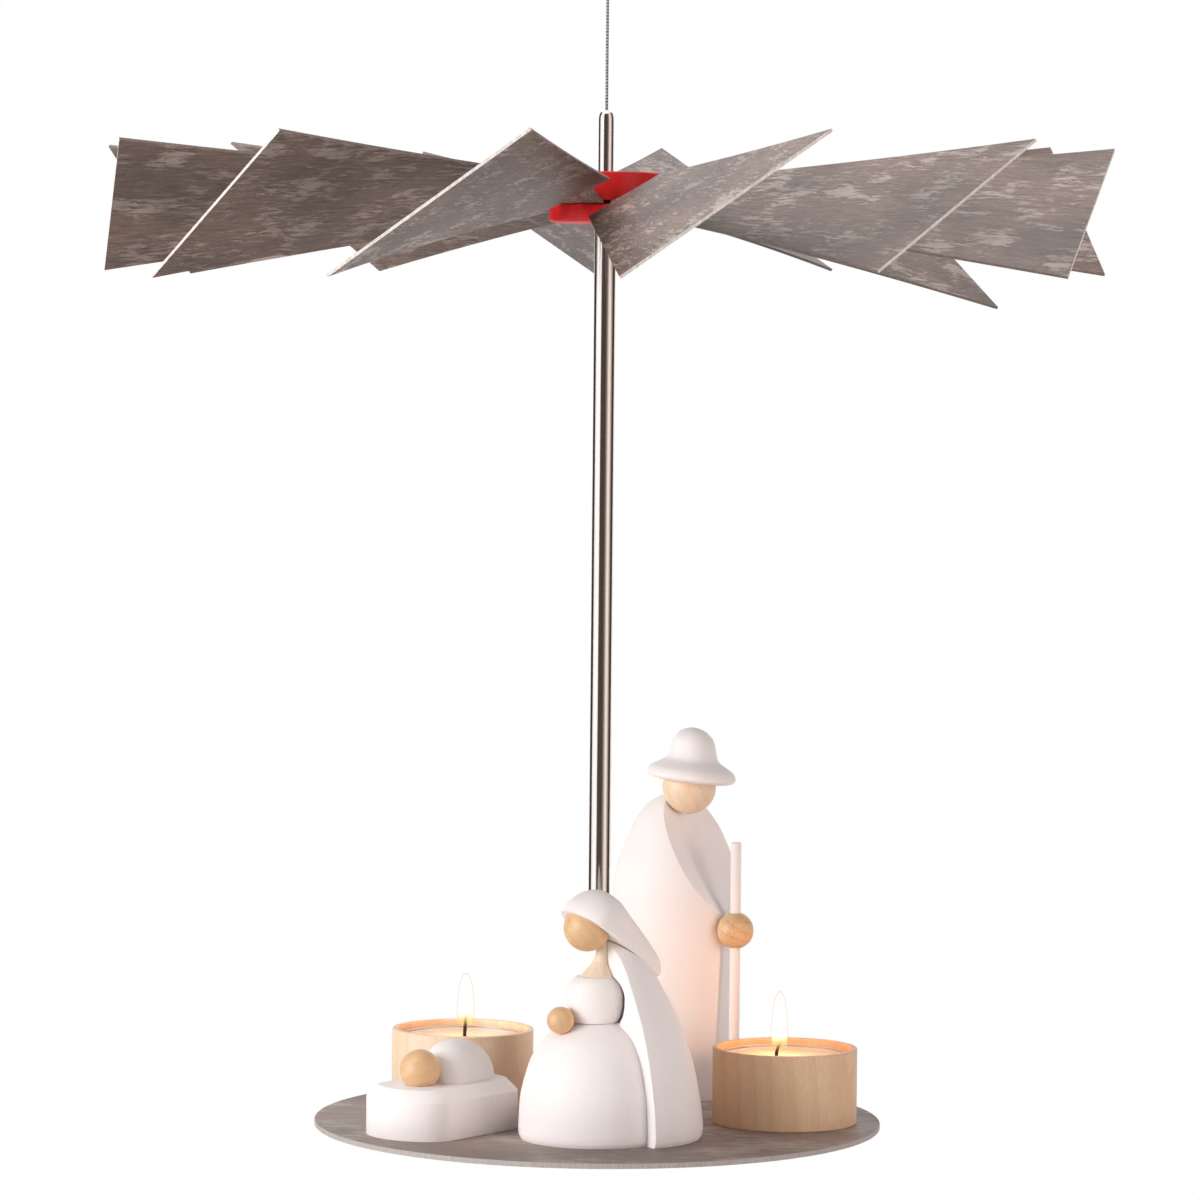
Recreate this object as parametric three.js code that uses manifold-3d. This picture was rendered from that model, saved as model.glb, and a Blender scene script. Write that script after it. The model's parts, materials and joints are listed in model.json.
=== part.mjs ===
// Hanging christmas pyramid: a twelve-bladed rotor, a steel tube and a slate-look plate with turned
// wooden figures and two tealights. It hangs from a ceiling fitting and turns on a small ball bearing.
// Millimetres, +Z up. The origin is the middle of the ceiling fitting's flat top face.

import * as THREE from 'three';
import { mergeVertices } from 'three/addons/utils/BufferGeometryUtils.js';
import Module from 'manifold-3d';

const wasm = await Module();
wasm.setup();

// Clearances
const GAP = 0.3; // between pieces that touch on the real object
const FINE_GAP = 0.12; // inside the miniature ball bearing
const TAB_PLAY = 0.2; // above and below each clamped blade tab

// Plate and tube
const PLATE_R = 90;
const PLATE_T = 1.6;
const TUBE_R = 3.5;
const TUBE_WALL = 0.45;
const FOOT_R = 7;
const FOOT_H = 4;
const SCREW_R = 1.8;
const SCREW_HEAD_R = 4.5;
const SCREW_HEAD_H = 2;
const PLUG_L = 10;

// Hub and spindle; heights are above the plate's top face
const HUB_R = 17.8;
const HUB_BOTTOM = 284.8;
const HUB_LOWER_T = 5.5;
const HUB_UPPER_T = 8.9;
const HUB_ROUND = 1.2;
const HUB_BOSS_R = 9.6;
const COLLAR_R = 5.6;
const COLLAR_T = 2;
const NUT_R = 5.8;
const NUT_T = 2.6;
const SPINDLE_R = 2.5;
const SPINDLE_ABOVE_HUB = 19.5;
const NOSE_ROUND = 1.1;
const NOSE_LENGTH = 2.6;
const JOURNAL_R = 1.15;

// Ball bearing in the tube, about 3 mm bore and 6 mm outside
const BEARING_T = 2.5;
const RACE_T = 0.4;
const BALL_R = 0.3;
const BALL_COUNT = 7;
const SPINDLE_NUT_T = 1.2;
const BUSH_L = 6;

// Blades: sheets clamped by a flat tab between the two halves of the hub
const BLADE_T = 0.9;
const BLADE_ROOT_R = 29.5;
const BLADE_TIP_R = 156;
const ROOT_CHORD = 26.4;
const TIP_CHORD = 75.3;
const TAB_WIDTH = 8;
const TAB_OFFSET = 1.9; // of the tab's middle towards the blade's raised edge
const ROOT_CORNER = 3.2; // rounding between tab and root edge
const ROOT_PITCH = 27.4;
const TIP_PITCH = 33.7;
const ROOT_RISE = 1.8; // how far the twist lifts the root above the clamped tab
const TIP_DROP = 4.3;
const TIP_SWEEP = 3.2;
const FIRST_BLADE_TURN = 10.9; // of blade_01 from straight ahead, in degrees

// The blades are clamped by hand, so each sits a little off its even place: turn, pitch and
// extra pitch at the root in degrees, drop of the outer edge in millimetres.
const BLADE_SEATS = [
  { turn: 0.7, pitch: 1.2, drop: 2.2, root: 2.4 },
  { turn: -0.7, pitch: -1.4, drop: 0.8 },
  { turn: 0.9, pitch: -0.5, drop: 0.4 },
  { turn: 0.6, pitch: 0.8, drop: -2.8 },
  { turn: 2.5, pitch: 5.2, drop: 4.6 },
  { turn: -0.2, pitch: 0.2, drop: -5.9 },
  { turn: 0, pitch: 0, drop: -3.5 },
  { turn: -1.4, pitch: -0.3, drop: -4.2 },
  { turn: -0.2, pitch: -2.5, drop: -0.5 },
  { turn: -1.3, pitch: -3, drop: 0.4 },
  { turn: 0.2, pitch: 0.3, drop: 2.3 },
  { turn: -1.1, pitch: 0, drop: 2.6, root: -3 },
];

// Cable and ceiling fitting
const CABLE_R = 0.5;
const CABLE_LENGTH = 50;
const CAP_R = 12;
const CAP_H = 15;
const CAP_WALL = 1.6;
const CAP_SINK = 0.5; // of the cap's rim below the ceiling face
const CAP_FLOOR_T = 2.6;
const SCREW_HOLE_R = 1.5; // two countersunk holes for the screws into the ceiling
const SCREW_HOLE_AT = 5.8;
const STOP_R = 1.5; // of the ball pressed on the cable's end

// Tealights in their turned holders
const HOLDER_R = 23;
const HOLDER_H = 24;
const HOLDER_WALL = 2;
const HOLDER_FLOOR = 5;
const TEALIGHT_R = 19.5;
const TEALIGHT_H = 17.2;
const TEALIGHT_WALL = 0.5;
const WAX_BELOW_RIM = 0.6;
const WICK_R = 0.6;
const HOLDER_PLACES = { right: [59.5, -3.5], left: [-44, 34.9] };
const WICK_ABOVE_WAX = { right: 4.3, left: 7.3 };
const WICK_SHIFT = { right: -2.7, left: 0.6 }; // along X from the middle of the cup
const WICK_LEAN = { right: 1.5, left: 0.5 };

// Woman: her cloak is the turned bell, and the skirt and torso stand forward of its middle
const WOMAN_AT = [4, -36];
const WOMAN_FACES = -145;
const SKIRT_FORWARD = 5.5;
const SKIRT_R = 24.2;
const SKIRT_H = 34.9;
const TORSO_FORWARD = 6.2;
const TORSO_R = 9.1;
const TORSO_H = 15;
const NECK_FORWARD = 5.2;
const NECK_R = 5.5; // of its foot
const NECK_H = 10.6;
const NECK_LEAN = 0.24; // backwards, per unit of height
const CLOAK_R = 29;
const CLOAK_H = 62.6;
const CLOAK_CUT = 3; // of the cloak's flat front face ahead of its middle
const CLOAK_HOLLOW = 2.5; // around the torso
const WOMAN_HEAD_R = 7.3;
const WOMAN_HEAD = [9.3, 0, 65.3];
const WOMAN_HAND_R = 4.25;
const WOMAN_HAND = [18.6, 0, 37.2];
const VEIL_R = 10.7;
const VEIL_FRONT = [17.8, 72.5];
const VEIL_BACK = [-18.3, 49.6];
const VEIL_CUT = 1.4; // of its flat underside below the axis it was turned on

// Man
const MAN_AT = [25.5, 57];
const GOWN_R = 21.4;
const GOWN_H = 99.8;
const GOWN_SIDE = [37.4, 40.8]; // front edge of its flat side
const MAN_HEAD_R = 8.65;
const MAN_HEAD = [29.4, 51.5, GOWN_H + 2.1];
const HAT_AT = [29.7, 51.5, MAN_HEAD[2] + 2.1];
const HAT_R = 14.6;
const HAT_H = 17.4;
const HAT_TILT = 6.3;
const MAN_HAND_R = 6;
const MAN_HAND = [44.5, 39.7, 56.1];
const STAFF_R = 1.7;
const STAFF_TOP = 84.9;
const STAFF_EDGE = 0.4;
const LAPEL_DRUM_R = 45; // of the tool that hollows the gown beside the lapel

// Crib and infant
const CRIB_AT = [-48.5, -27.2];
const CRIB_TURN = 52;
const CRIB_HALF_W = 16;
const CRIB_STRAIGHT = 29.5;
const CRIB_END = 11.3;
const CRIB_H = 15.5;
const CRIB_CHAMFER = 3.5;
const INFANT_HEAD_R = 6.35;
const INFANT_HEAD_AT = -11;
const INFANT_HEAD_SINK = 1.7; // flat under the ball, below its full round
const INFANT_BODY = { from: -5, length: 26, height: 12.6, halfWidth: 9.8 };

// Heights worked out from the sizes above
const SLIT = BLADE_T + 2 * TAB_PLAY;
const SLIT_BOTTOM = HUB_BOTTOM + HUB_LOWER_T;
const SLIT_TOP = SLIT_BOTTOM + SLIT;
const TAB_MID = SLIT_BOTTOM + SLIT / 2;
const HUB_TOP = SLIT_TOP + HUB_UPPER_T;
const TORSO_BOTTOM = SKIRT_H + GAP;
const NECK_BOTTOM = TORSO_BOTTOM + TORSO_H + GAP;
const NUT_SEAT = HUB_TOP - NUT_T - 2;
const TUBE_TOP = NUT_SEAT + NUT_T;
const SPINDLE_TOP = HUB_TOP + SPINDLE_ABOVE_HUB;
const SPINDLE_SHOULDER = TUBE_TOP + GAP;
const BORE_R = TUBE_R - TUBE_WALL;
const BEARING_TOP = TUBE_TOP - BUSH_L - GAP;
const BEARING_BOTTOM = BEARING_TOP - BEARING_T;
const CEILING = SPINDLE_TOP + CABLE_LENGTH + CAP_H + CAP_SINK;
const CAP_BOTTOM = CEILING - CAP_SINK - CAP_H;

// Finishes
const finish = (color, roughness, metalness = 0) =>
  new THREE.MeshStandardMaterial({ color, roughness, metalness });
const steel = () => finish(0x9a9490, 0.35, 1);
const slate = () => finish(0x8d837b, 0.7);
const red = () => finish(0xc8242a, 0.6);
const maple = () => finish(0xe0bd8f, 0.55);
const white = () => finish(0xf4f0ee, 0.7);

const radians = THREE.MathUtils.degToRad;

// Geometry helpers

// Signed volume of a closed geometry, negative when its faces point in
function volume(geometry) {
  const p = geometry.attributes.position;
  const at = (i) => new THREE.Vector3().fromBufferAttribute(p, geometry.index.getX(i));
  let sum = 0;
  for (let i = 0; i < geometry.index.count; i += 3) sum += at(i).dot(at(i + 1).cross(at(i + 2)));
  return sum / 6;
}

// Keeps only positions, joins shared vertices and turns the faces out
function closed(geometry) {
  geometry.deleteAttribute('normal');
  geometry.deleteAttribute('uv');
  const merged = mergeVertices(geometry, 1e-4);
  if (volume(merged) < 0) {
    const index = merged.index;
    for (let i = 0; i < index.count; i += 3) {
      const first = index.getX(i);
      index.setX(i, index.getX(i + 2));
      index.setX(i + 2, first);
    }
  }
  return merged;
}

// A turned piece about Z from [radius, height] points that start and end on the axis or close
function turned(points, sides = 24) {
  const outline = points.map(([r, z]) => new THREE.Vector2(r, z));
  return closed(new THREE.LatheGeometry(outline, sides).rotateX(Math.PI / 2));
}

// A ring or sleeve
function ring(inner, outer, bottom, top, sides = 24) {
  const section = [[inner, bottom], [outer, bottom], [outer, top], [inner, top], [inner, bottom]];
  return turned(section, sides);
}

function disc(radius, bottom, top, sides = 24) {
  return turned([[0, bottom], [radius, bottom], [radius, top], [0, top]], sides);
}

// Points of a smooth turned outline through the given ones
function smooth(points, steps) {
  const curve = new THREE.SplineCurve(points.map(([r, z]) => new THREE.Vector2(r, z)));
  return curve.getPoints(steps).map((p) => [Math.max(p.x, 0), p.y]);
}

// A table of [share of the radius, share of the height] brought to size
function profile(shares, radius, height, bottom = 0) {
  return shares.map(([r, z]) => [r * radius, bottom + z * height]);
}

function ball(radius, [x, y, z], sides = 16) {
  return closed(new THREE.SphereGeometry(radius, sides, Math.round(sides * 0.6)).translate(x, y, z));
}

// Boolean work
function toSolid(geometry) {
  const merged = geometry.index ? geometry : closed(geometry);
  const vertProperties = new Float32Array(merged.attributes.position.array);
  const triVerts = new Uint32Array(merged.index.array);
  return new wasm.Manifold(new wasm.Mesh({ numProp: 3, vertProperties, triVerts }));
}

function toGeometry(solid) {
  const mesh = solid.getMesh();
  const geometry = new THREE.BufferGeometry();
  geometry.setAttribute('position', new THREE.BufferAttribute(mesh.vertProperties, 3));
  geometry.setIndex(new THREE.BufferAttribute(mesh.triVerts, 1));
  return geometry;
}

function cut(geometry, ...tools) {
  return toGeometry(tools.reduce((body, tool) => body.subtract(toSolid(tool)), toSolid(geometry)));
}

// A block whose flat face passes through a point, and which lies on the side the normal points to
function sideOf(point, normal, size = 260) {
  const turn = new THREE.Quaternion();
  turn.setFromUnitVectors(new THREE.Vector3(0, 0, 1), new THREE.Vector3(...normal).normalize());
  const block = new THREE.BoxGeometry(size, size, size).translate(0, 0, size / 2);
  return closed(block.applyQuaternion(turn).translate(...point));
}

function place(parent, name, geometry, material, position = [0, 0, 0]) {
  const mesh = new THREE.Mesh(geometry, material);
  mesh.name = name;
  mesh.position.set(...position);
  parent.add(mesh);
  return mesh;
}

// Ceiling fitting: a puck screwed to the ceiling and a turned cap over it, which holds the cable's stop
function ceilingFitting(parent) {
  const floor = CAP_BOTTOM + CAP_FLOOR_T;
  const puckR = CAP_R - CAP_WALL - GAP;
  const puckBottom = floor + 2 * STOP_R + 2 * GAP;
  const sinkR = SCREW_HOLE_R * 2;
  const hole = turned([
    [0, puckBottom - 1], [sinkR + 1, puckBottom - 1], [SCREW_HOLE_R, puckBottom + sinkR - SCREW_HOLE_R],
    [SCREW_HOLE_R, CEILING + 1], [0, CEILING + 1],
  ], 12);
  const holes = [-SCREW_HOLE_AT, SCREW_HOLE_AT].map((x) => hole.clone().translate(x, 0, 0));
  place(parent, 'ceiling_base', cut(disc(puckR, puckBottom, CEILING), ...holes), steel());

  const rim = CEILING - CAP_SINK;
  const holeR = CABLE_R + GAP;
  const corner = arcPoints(CAP_R - 3, CAP_BOTTOM + 3, 3, -90, 0, 3);
  const cap = turned([
    [holeR, CAP_BOTTOM], ...corner, [CAP_R, rim], [CAP_R - CAP_WALL, rim],
    [CAP_R - CAP_WALL, floor], [holeR, floor], [holeR, CAP_BOTTOM],
  ]);
  place(parent, 'ceiling_cap', cap, steel());

  const stopMid = floor + GAP + STOP_R;
  const around = arcPoints(0, stopMid, STOP_R, -90 + degreesAt(CABLE_R, STOP_R), 90, 6);
  const stop = turned([[0, CAP_BOTTOM], [CABLE_R, CAP_BOTTOM], ...around], 12);
  place(parent, 'cable_stop', stop, steel());
}

// The angle at which a circle of the given radius is this far from its axis
function degreesAt(distance, radius) {
  return THREE.MathUtils.radToDeg(Math.asin(distance / radius));
}

// Points [r, z] of an arc, with angles in degrees from straight out
function arcPoints(r, z, radius, from, to, steps) {
  return Array.from({ length: steps + 1 }, (_, i) => {
    const angle = radians(from + ((to - from) * i) / steps);
    return [Math.max(r + radius * Math.cos(angle), 0), z + radius * Math.sin(angle)];
  });
}

// The cable's free stretch, from the spindle's nose to the ceiling cap
function cable(parent) {
  const from = SPINDLE_TOP + GAP;
  const to = CAP_BOTTOM - GAP;
  const section = new THREE.Shape().absarc(0, 0, CABLE_R, 0, 2 * Math.PI);
  const route = new THREE.LineCurve3(new THREE.Vector3(0, 0, from), new THREE.Vector3(0, 0, to));
  const steps = Math.round((to - from) / (5 * CABLE_R));
  const tube = new THREE.ExtrudeGeometry(section, { steps, extrudePath: route, curveSegments: 4 });
  place(parent, 'cable', closed(tube), steel());
}

// Spindle with a rounded nose, swaged onto the cable, and a thin journal for the bearing
function spindle(parent) {
  const journalBottom = BEARING_BOTTOM - SPINDLE_NUT_T - GAP - 0.8;
  const nose = arcPoints(SPINDLE_R - NOSE_ROUND, 0, NOSE_ROUND, 0, 90, 4)
    .map(([r, z]) => [r, SPINDLE_TOP - NOSE_LENGTH + (z / NOSE_ROUND) * NOSE_LENGTH]);
  const rod = turned([
    [0, journalBottom], [JOURNAL_R, journalBottom], [JOURNAL_R, SPINDLE_SHOULDER],
    [SPINDLE_R, SPINDLE_SHOULDER], ...nose, [0, SPINDLE_TOP],
  ], 20);
  place(parent, 'spindle', rod, steel());

  const nutTop = BEARING_BOTTOM - FINE_GAP;
  const nutR = JOURNAL_R + FINE_GAP + RACE_T + 0.25;
  const nut = ring(JOURNAL_R + FINE_GAP, nutR, nutTop - SPINDLE_NUT_T, nutTop, 16);
  place(parent, 'spindle_nut', nut, steel());
}

// Miniature ball bearing: inner race, balls in their cage, outer race; a bush above it carries the tube
function bearing(parent) {
  const innerR = JOURNAL_R + FINE_GAP;
  const outerR = BORE_R - FINE_GAP;
  place(parent, 'bearing_inner_race', ring(innerR, innerR + RACE_T, BEARING_BOTTOM, BEARING_TOP, 16), steel());
  place(parent, 'bearing_outer_race', ring(outerR - RACE_T, outerR, BEARING_BOTTOM, BEARING_TOP, 16), steel());

  const track = (innerR + outerR) / 2;
  const middle = (BEARING_TOP + BEARING_BOTTOM) / 2;
  let cage = toSolid(ring(track - BALL_R / 2, track + BALL_R / 2, middle - 0.5, middle + 0.5, 12));
  for (let i = 0; i < BALL_COUNT; i += 1) {
    const angle = (2 * Math.PI * i) / BALL_COUNT;
    const centre = [track * Math.cos(angle), track * Math.sin(angle), middle];
    cage = cage.add(toSolid(ball(BALL_R, centre, 6)));
  }
  place(parent, 'bearing_balls', toGeometry(cage), steel());

  const bush = ring(JOURNAL_R + GAP, BORE_R - FINE_GAP, BEARING_TOP + FINE_GAP, TUBE_TOP, 16);
  place(parent, 'bearing_bush', bush, finish(0xb08d57, 0.4, 1));
}

// The hub clamps the blade tabs between its two halves, held by a collar below and a nut above
function hub(parent) {
  const bore = TUBE_R + GAP;
  const collarBottom = HUB_BOTTOM + 1;
  const pocketR = COLLAR_R + GAP;
  const lowerEdge = arcPoints(HUB_R - HUB_ROUND, HUB_BOTTOM + HUB_ROUND, HUB_ROUND, -90, 0, 2);
  const lower = turned([
    [pocketR, HUB_BOTTOM], ...lowerEdge, [HUB_R, SLIT_BOTTOM], [HUB_BOSS_R, SLIT_BOTTOM],
    [HUB_BOSS_R, SLIT_TOP], [bore, SLIT_TOP], [bore, collarBottom + COLLAR_T],
    [pocketR, collarBottom + COLLAR_T], [pocketR, HUB_BOTTOM],
  ], 28);
  place(parent, 'hub_lower', lower, red());

  const nutPocketR = NUT_R + 1;
  const edgeRound = HUB_ROUND / 2;
  const upperEdge = arcPoints(HUB_R - edgeRound, HUB_TOP - edgeRound, edgeRound, 0, 90, 2);
  const upper = turned([
    [bore, SLIT_TOP], [HUB_R, SLIT_TOP], ...upperEdge, [nutPocketR, HUB_TOP],
    [nutPocketR, NUT_SEAT], [bore, NUT_SEAT], [bore, SLIT_TOP],
  ], 28);
  place(parent, 'hub_upper', upper, red());

  place(parent, 'tube_collar', ring(bore, COLLAR_R, collarBottom, collarBottom + COLLAR_T, 16), steel());
  const nut = cut(disc(NUT_R, NUT_SEAT, NUT_SEAT + NUT_T, 6), disc(bore, NUT_SEAT - 1, TUBE_TOP + 1));
  place(parent, 'hub_nut', nut, steel());
}

// Both side edges of a blade at a radius: tapered tab, rounded inner corners, then the widening sheet
function bladeEdges(r) {
  const tab = TAB_WIDTH / 2;
  const corner = BLADE_ROOT_R - ROOT_CORNER;
  if (r <= HUB_R) {
    const taper = (r / HUB_R) ** 1.2;
    return [(TAB_OFFSET - tab) * taper, (TAB_OFFSET + tab) * taper];
  }
  if (r < BLADE_ROOT_R) {
    const across = Math.max((r - corner) / ROOT_CORNER, 0);
    const flare = ROOT_CORNER * (1 - Math.sqrt(1 - across ** 2));
    return [TAB_OFFSET - tab - flare, TAB_OFFSET + tab + flare];
  }
  const along = (r - BLADE_ROOT_R) / (BLADE_TIP_R - BLADE_ROOT_R);
  const half = (ROOT_CHORD + (TIP_CHORD - ROOT_CHORD) * along) / 2;
  return [-half, half];
}

// Radii at which a blade's sheet gets a row of points, as shares of the twisted part and of the sheet
function bladeRadii() {
  const twisted = [0.25, 0.5, 0.7].map((share) => HUB_R + (BLADE_ROOT_R - HUB_R) * share);
  const corner = [0, 0.5, 0.8, 0.97].map((share) => BLADE_ROOT_R - ROOT_CORNER * (1 - share));
  const sheet = [0, 0.1, 0.32, 0.63, 1].map((share) => BLADE_ROOT_R + (BLADE_TIP_R - BLADE_ROOT_R) * share);
  return [HUB_BOSS_R + 1, HUB_R + GAP, ...twisted, ...corner.slice(1), ...sheet];
}

// One blade along +X: a box of many short steps, bent and twisted into the clamped sheet
function bladeGeometry(seat) {
  const radii = bladeRadii();
  const steps = radii.length - 1;
  const box = new THREE.BoxGeometry(steps, 1, 1, steps, 2, 1);
  const p = box.attributes.position;
  for (let i = 0; i < p.count; i += 1) {
    const r = radii[Math.round(p.getX(i) + steps / 2)];
    const twist = THREE.MathUtils.smoothstep(r, HUB_R, BLADE_ROOT_R);
    const along = Math.max((r - BLADE_ROOT_R) / (BLADE_TIP_R - BLADE_ROOT_R), 0);
    const extra = seat.pitch + (seat.root ?? 0) * (1 - along);
    const pitch = radians(twist * (ROOT_PITCH + (TIP_PITCH - ROOT_PITCH) * along + extra));
    const [low, high] = bladeEdges(r);
    const across = low + (high - low) * (p.getY(i) + 0.5);
    const lift = p.getZ(i) * BLADE_T;
    const rise = TAB_MID + ROOT_RISE * twist - TIP_DROP * along - (seat.drop * twist * r) / BLADE_TIP_R;
    const y = across * Math.cos(pitch) - lift * Math.sin(pitch) + TIP_SWEEP * along;
    p.setXYZ(i, r, y, rise + across * Math.sin(pitch) + lift * Math.cos(pitch));
  }
  return closed(box);
}

function blades(parent) {
  BLADE_SEATS.forEach((seat, i) => {
    const name = `blade_${String(i + 1).padStart(2, '0')}`;
    const blade = place(parent, name, bladeGeometry(seat), slate());
    const even = (360 / BLADE_SEATS.length) * i;
    blade.rotation.z = radians(FIRST_BLADE_TURN + even + seat.turn - 90);
  });
}

// Tube, plate and what fastens them
function tubeAndPlate(parent) {
  place(parent, 'tube', ring(BORE_R, TUBE_R, 0, TUBE_TOP), steel());
  const screwHole = SCREW_R + GAP;
  place(parent, 'plate', ring(screwHole, PLATE_R, -PLATE_T, 0, 56), slate());
  place(parent, 'foot_flange', ring(TUBE_R + GAP, FOOT_R, 0, FOOT_H, 20), steel());
  place(parent, 'tube_plug', ring(screwHole, BORE_R - GAP, 0, PLUG_L, 16), steel());
  const under = -PLATE_T - SCREW_HEAD_H;
  const screw = turned([
    [0, under], [SCREW_HEAD_R - 1, under], [SCREW_HEAD_R, under + 0.8], [SCREW_HEAD_R, -PLATE_T],
    [SCREW_R, -PLATE_T], [SCREW_R, PLUG_L - 1], [0, PLUG_L - 1],
  ], 16);
  place(parent, 'plate_screw', screw, steel());
}

// Holder with its tealight: cup, wax, wick and the little steel foot of the wick
function tealight(parent, side) {
  const [x, y] = HOLDER_PLACES[side];
  const edge = 0.5;
  const boreR = HOLDER_R - HOLDER_WALL;
  const holder = turned([
    [0, 0], [HOLDER_R - edge, 0], [HOLDER_R, edge], [HOLDER_R, HOLDER_H - edge],
    [HOLDER_R - edge, HOLDER_H], [boreR, HOLDER_H], [boreR, HOLDER_FLOOR], [0, HOLDER_FLOOR],
  ], 28);
  place(parent, `holder_${side}`, holder, maple(), [x, y, 0]);

  const bottom = HOLDER_FLOOR;
  const cupTop = bottom + TEALIGHT_H;
  const inside = TEALIGHT_R - TEALIGHT_WALL;
  const cup = turned([
    [0, bottom], [TEALIGHT_R - 0.6, bottom], [TEALIGHT_R, bottom + 0.6], [TEALIGHT_R, cupTop],
    [inside, cupTop], [inside, bottom + TEALIGHT_WALL], [0, bottom + TEALIGHT_WALL],
  ], 24);
  place(parent, `tealight_cup_${side}`, cup, finish(0xe8e4dc, 0.2), [x, y, 0]);

  const footBottom = bottom + TEALIGHT_WALL + GAP / 2;
  const footTop = footBottom + GAP;
  const foot = disc(TEALIGHT_R * 0.4, footBottom, footTop, 16);
  place(parent, `wick_foot_${side}`, foot, steel(), [x, y, 0]);

  const waxTop = cupTop - WAX_BELOW_RIM;
  const waxBottom = footTop + GAP / 2;
  const shift = WICK_SHIFT[side];
  const wickHole = disc(WICK_R + GAP, waxBottom - 1, waxTop + 1, 8).translate(shift, 0, 0);
  const wax = cut(disc(inside - GAP, waxBottom, waxTop), wickHole);
  place(parent, `wax_${side}`, wax, finish(0xf6efdf, 0.5), [x, y, 0]);

  const wick = wickGeometry(waxBottom, waxTop, WICK_ABOVE_WAX[side], WICK_LEAN[side]);
  place(parent, `wick_${side}`, wick, finish(0x1e1815, 0.9), [x + shift, y, 0]);
}

// A wick that stands straight in the wax and leans a little above it
function wickGeometry(bottom, waxTop, above, lean) {
  const route = new THREE.CatmullRomCurve3([
    new THREE.Vector3(0, 0, bottom), new THREE.Vector3(0, 0, waxTop),
    new THREE.Vector3(lean * 0.3, 0, waxTop + above * 0.6),
    new THREE.Vector3(lean, 0, waxTop + above),
  ]);
  const section = new THREE.Shape().absarc(0, 0, WICK_R, 0, 2 * Math.PI);
  return closed(new THREE.ExtrudeGeometry(section, { steps: 8, extrudePath: route, curveSegments: 3 }));
}

// Outlines of the woman's turned pieces
const skirtOutline = () => profile([
  [0.92, 0], [0.992, 0.07], [0.996, 0.145], [0.971, 0.345], [0.913, 0.51], [0.822, 0.69],
  [0.682, 0.835], [0.541, 0.92], [0.32, 1],
], SKIRT_R, SKIRT_H);
const torsoOutline = () => profile([
  [0.83, 0], [0.955, 0.16], [0.995, 0.42], [1, 0.6], [0.965, 0.72], [0.87, 0.84], [0.75, 0.93], [0.62, 1],
], TORSO_R, TORSO_H, TORSO_BOTTOM);
const neckOutline = () => profile([
  [1, 0], [0.78, 0.09], [0.54, 0.22], [0.4, 0.4], [0.34, 0.6], [0.34, 1],
], NECK_R, NECK_H, NECK_BOTTOM);
const cloakOutline = () => profile([
  [0.985, 0], [1, 0.065], [0.955, 0.225], [0.87, 0.4], [0.74, 0.575], [0.58, 0.72], [0.37, 0.88], [0.1, 0.99],
], CLOAK_R, CLOAK_H);

// Leans a piece backwards from its foot
function leanBack(geometry, foot, slope) {
  const shear = new THREE.Matrix4().makeShear(0, 0, 0, 0, -slope, 0);
  return geometry.translate(0, 0, -foot).applyMatrix4(shear).translate(0, 0, foot);
}

// Everything of the woman is built facing +X and turned to face the crib
function woman(parent) {
  const figure = new THREE.Group();
  figure.position.set(WOMAN_AT[0], WOMAN_AT[1], 0);
  figure.rotation.z = radians(WOMAN_FACES);
  parent.add(figure);

  const torsoTop = TORSO_BOTTOM + TORSO_H;
  const neckTop = NECK_BOTTOM + NECK_H;
  const skirt = turned([[0, 0], ...skirtOutline(), [0, SKIRT_H]]);
  const torso = turned([[0, TORSO_BOTTOM], ...torsoOutline(), [0, torsoTop]]);
  place(figure, 'woman_skirt', skirt, white(), [SKIRT_FORWARD, 0, 0]);
  place(figure, 'woman_torso', torso, white(), [TORSO_FORWARD, 0, 0]);

  const neck = turned([[0, NECK_BOTTOM], ...neckOutline(), [0, neckTop]], 16);
  const leaning = leanBack(neck, NECK_BOTTOM, NECK_LEAN).translate(NECK_FORWARD, 0, 0);
  const headRoom = ball(WOMAN_HEAD_R + GAP, WOMAN_HEAD);
  place(figure, 'woman_neck', cut(leaning, headRoom, underVeil()), maple());
  place(figure, 'woman_head', ball(WOMAN_HEAD_R, WOMAN_HEAD, 16), maple());

  const skirtBed = bed(skirtOutline(), 1.5 * GAP).translate(SKIRT_FORWARD, 0, 0);
  const torsoBed = bed(torsoOutline(), 1.5 * GAP).translate(TORSO_FORWARD, 0, 0);
  const hollow = bed(torsoOutline(), CLOAK_HOLLOW, 18).translate(TORSO_FORWARD, 0, 0);
  const neckBed = leanBack(bed(neckOutline(), 1.5 * GAP, 16), NECK_BOTTOM, NECK_LEAN);
  neckBed.translate(NECK_FORWARD, 0, 0);
  place(figure, 'woman_hand', cut(ball(WOMAN_HAND_R, WOMAN_HAND), skirtBed, torsoBed), maple());
  place(figure, 'woman_veil', veilGeometry(), white());
  place(figure, 'woman_cloak', cloakGeometry([skirtBed, hollow, neckBed]), white());
}

// The room a turned piece takes, with clearance around it, to be cut out of its neighbours
function bed(outline, clearance, sides = 24) {
  const wider = outline.map(([r, z]) => [r + clearance, z]);
  const [first, last] = [wider[0], wider[wider.length - 1]];
  const [bottom, top] = [first[1] - GAP, last[1] + GAP];
  return turned([[0, bottom], [first[0], bottom], ...wider, [last[0], top], [0, top]], sides);
}

// The cloak is a bell with a flat front face and a bed for the skirt, torso and neck
function cloakGeometry(beds) {
  const bell = turned([[0, 0], ...cloakOutline(), [0, CLOAK_H]], 24);
  const front = sideOf([CLOAK_CUT, 0, 0], [1, 0, 0]);
  return cut(bell, front, underVeil(), ...beds);
}

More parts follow.
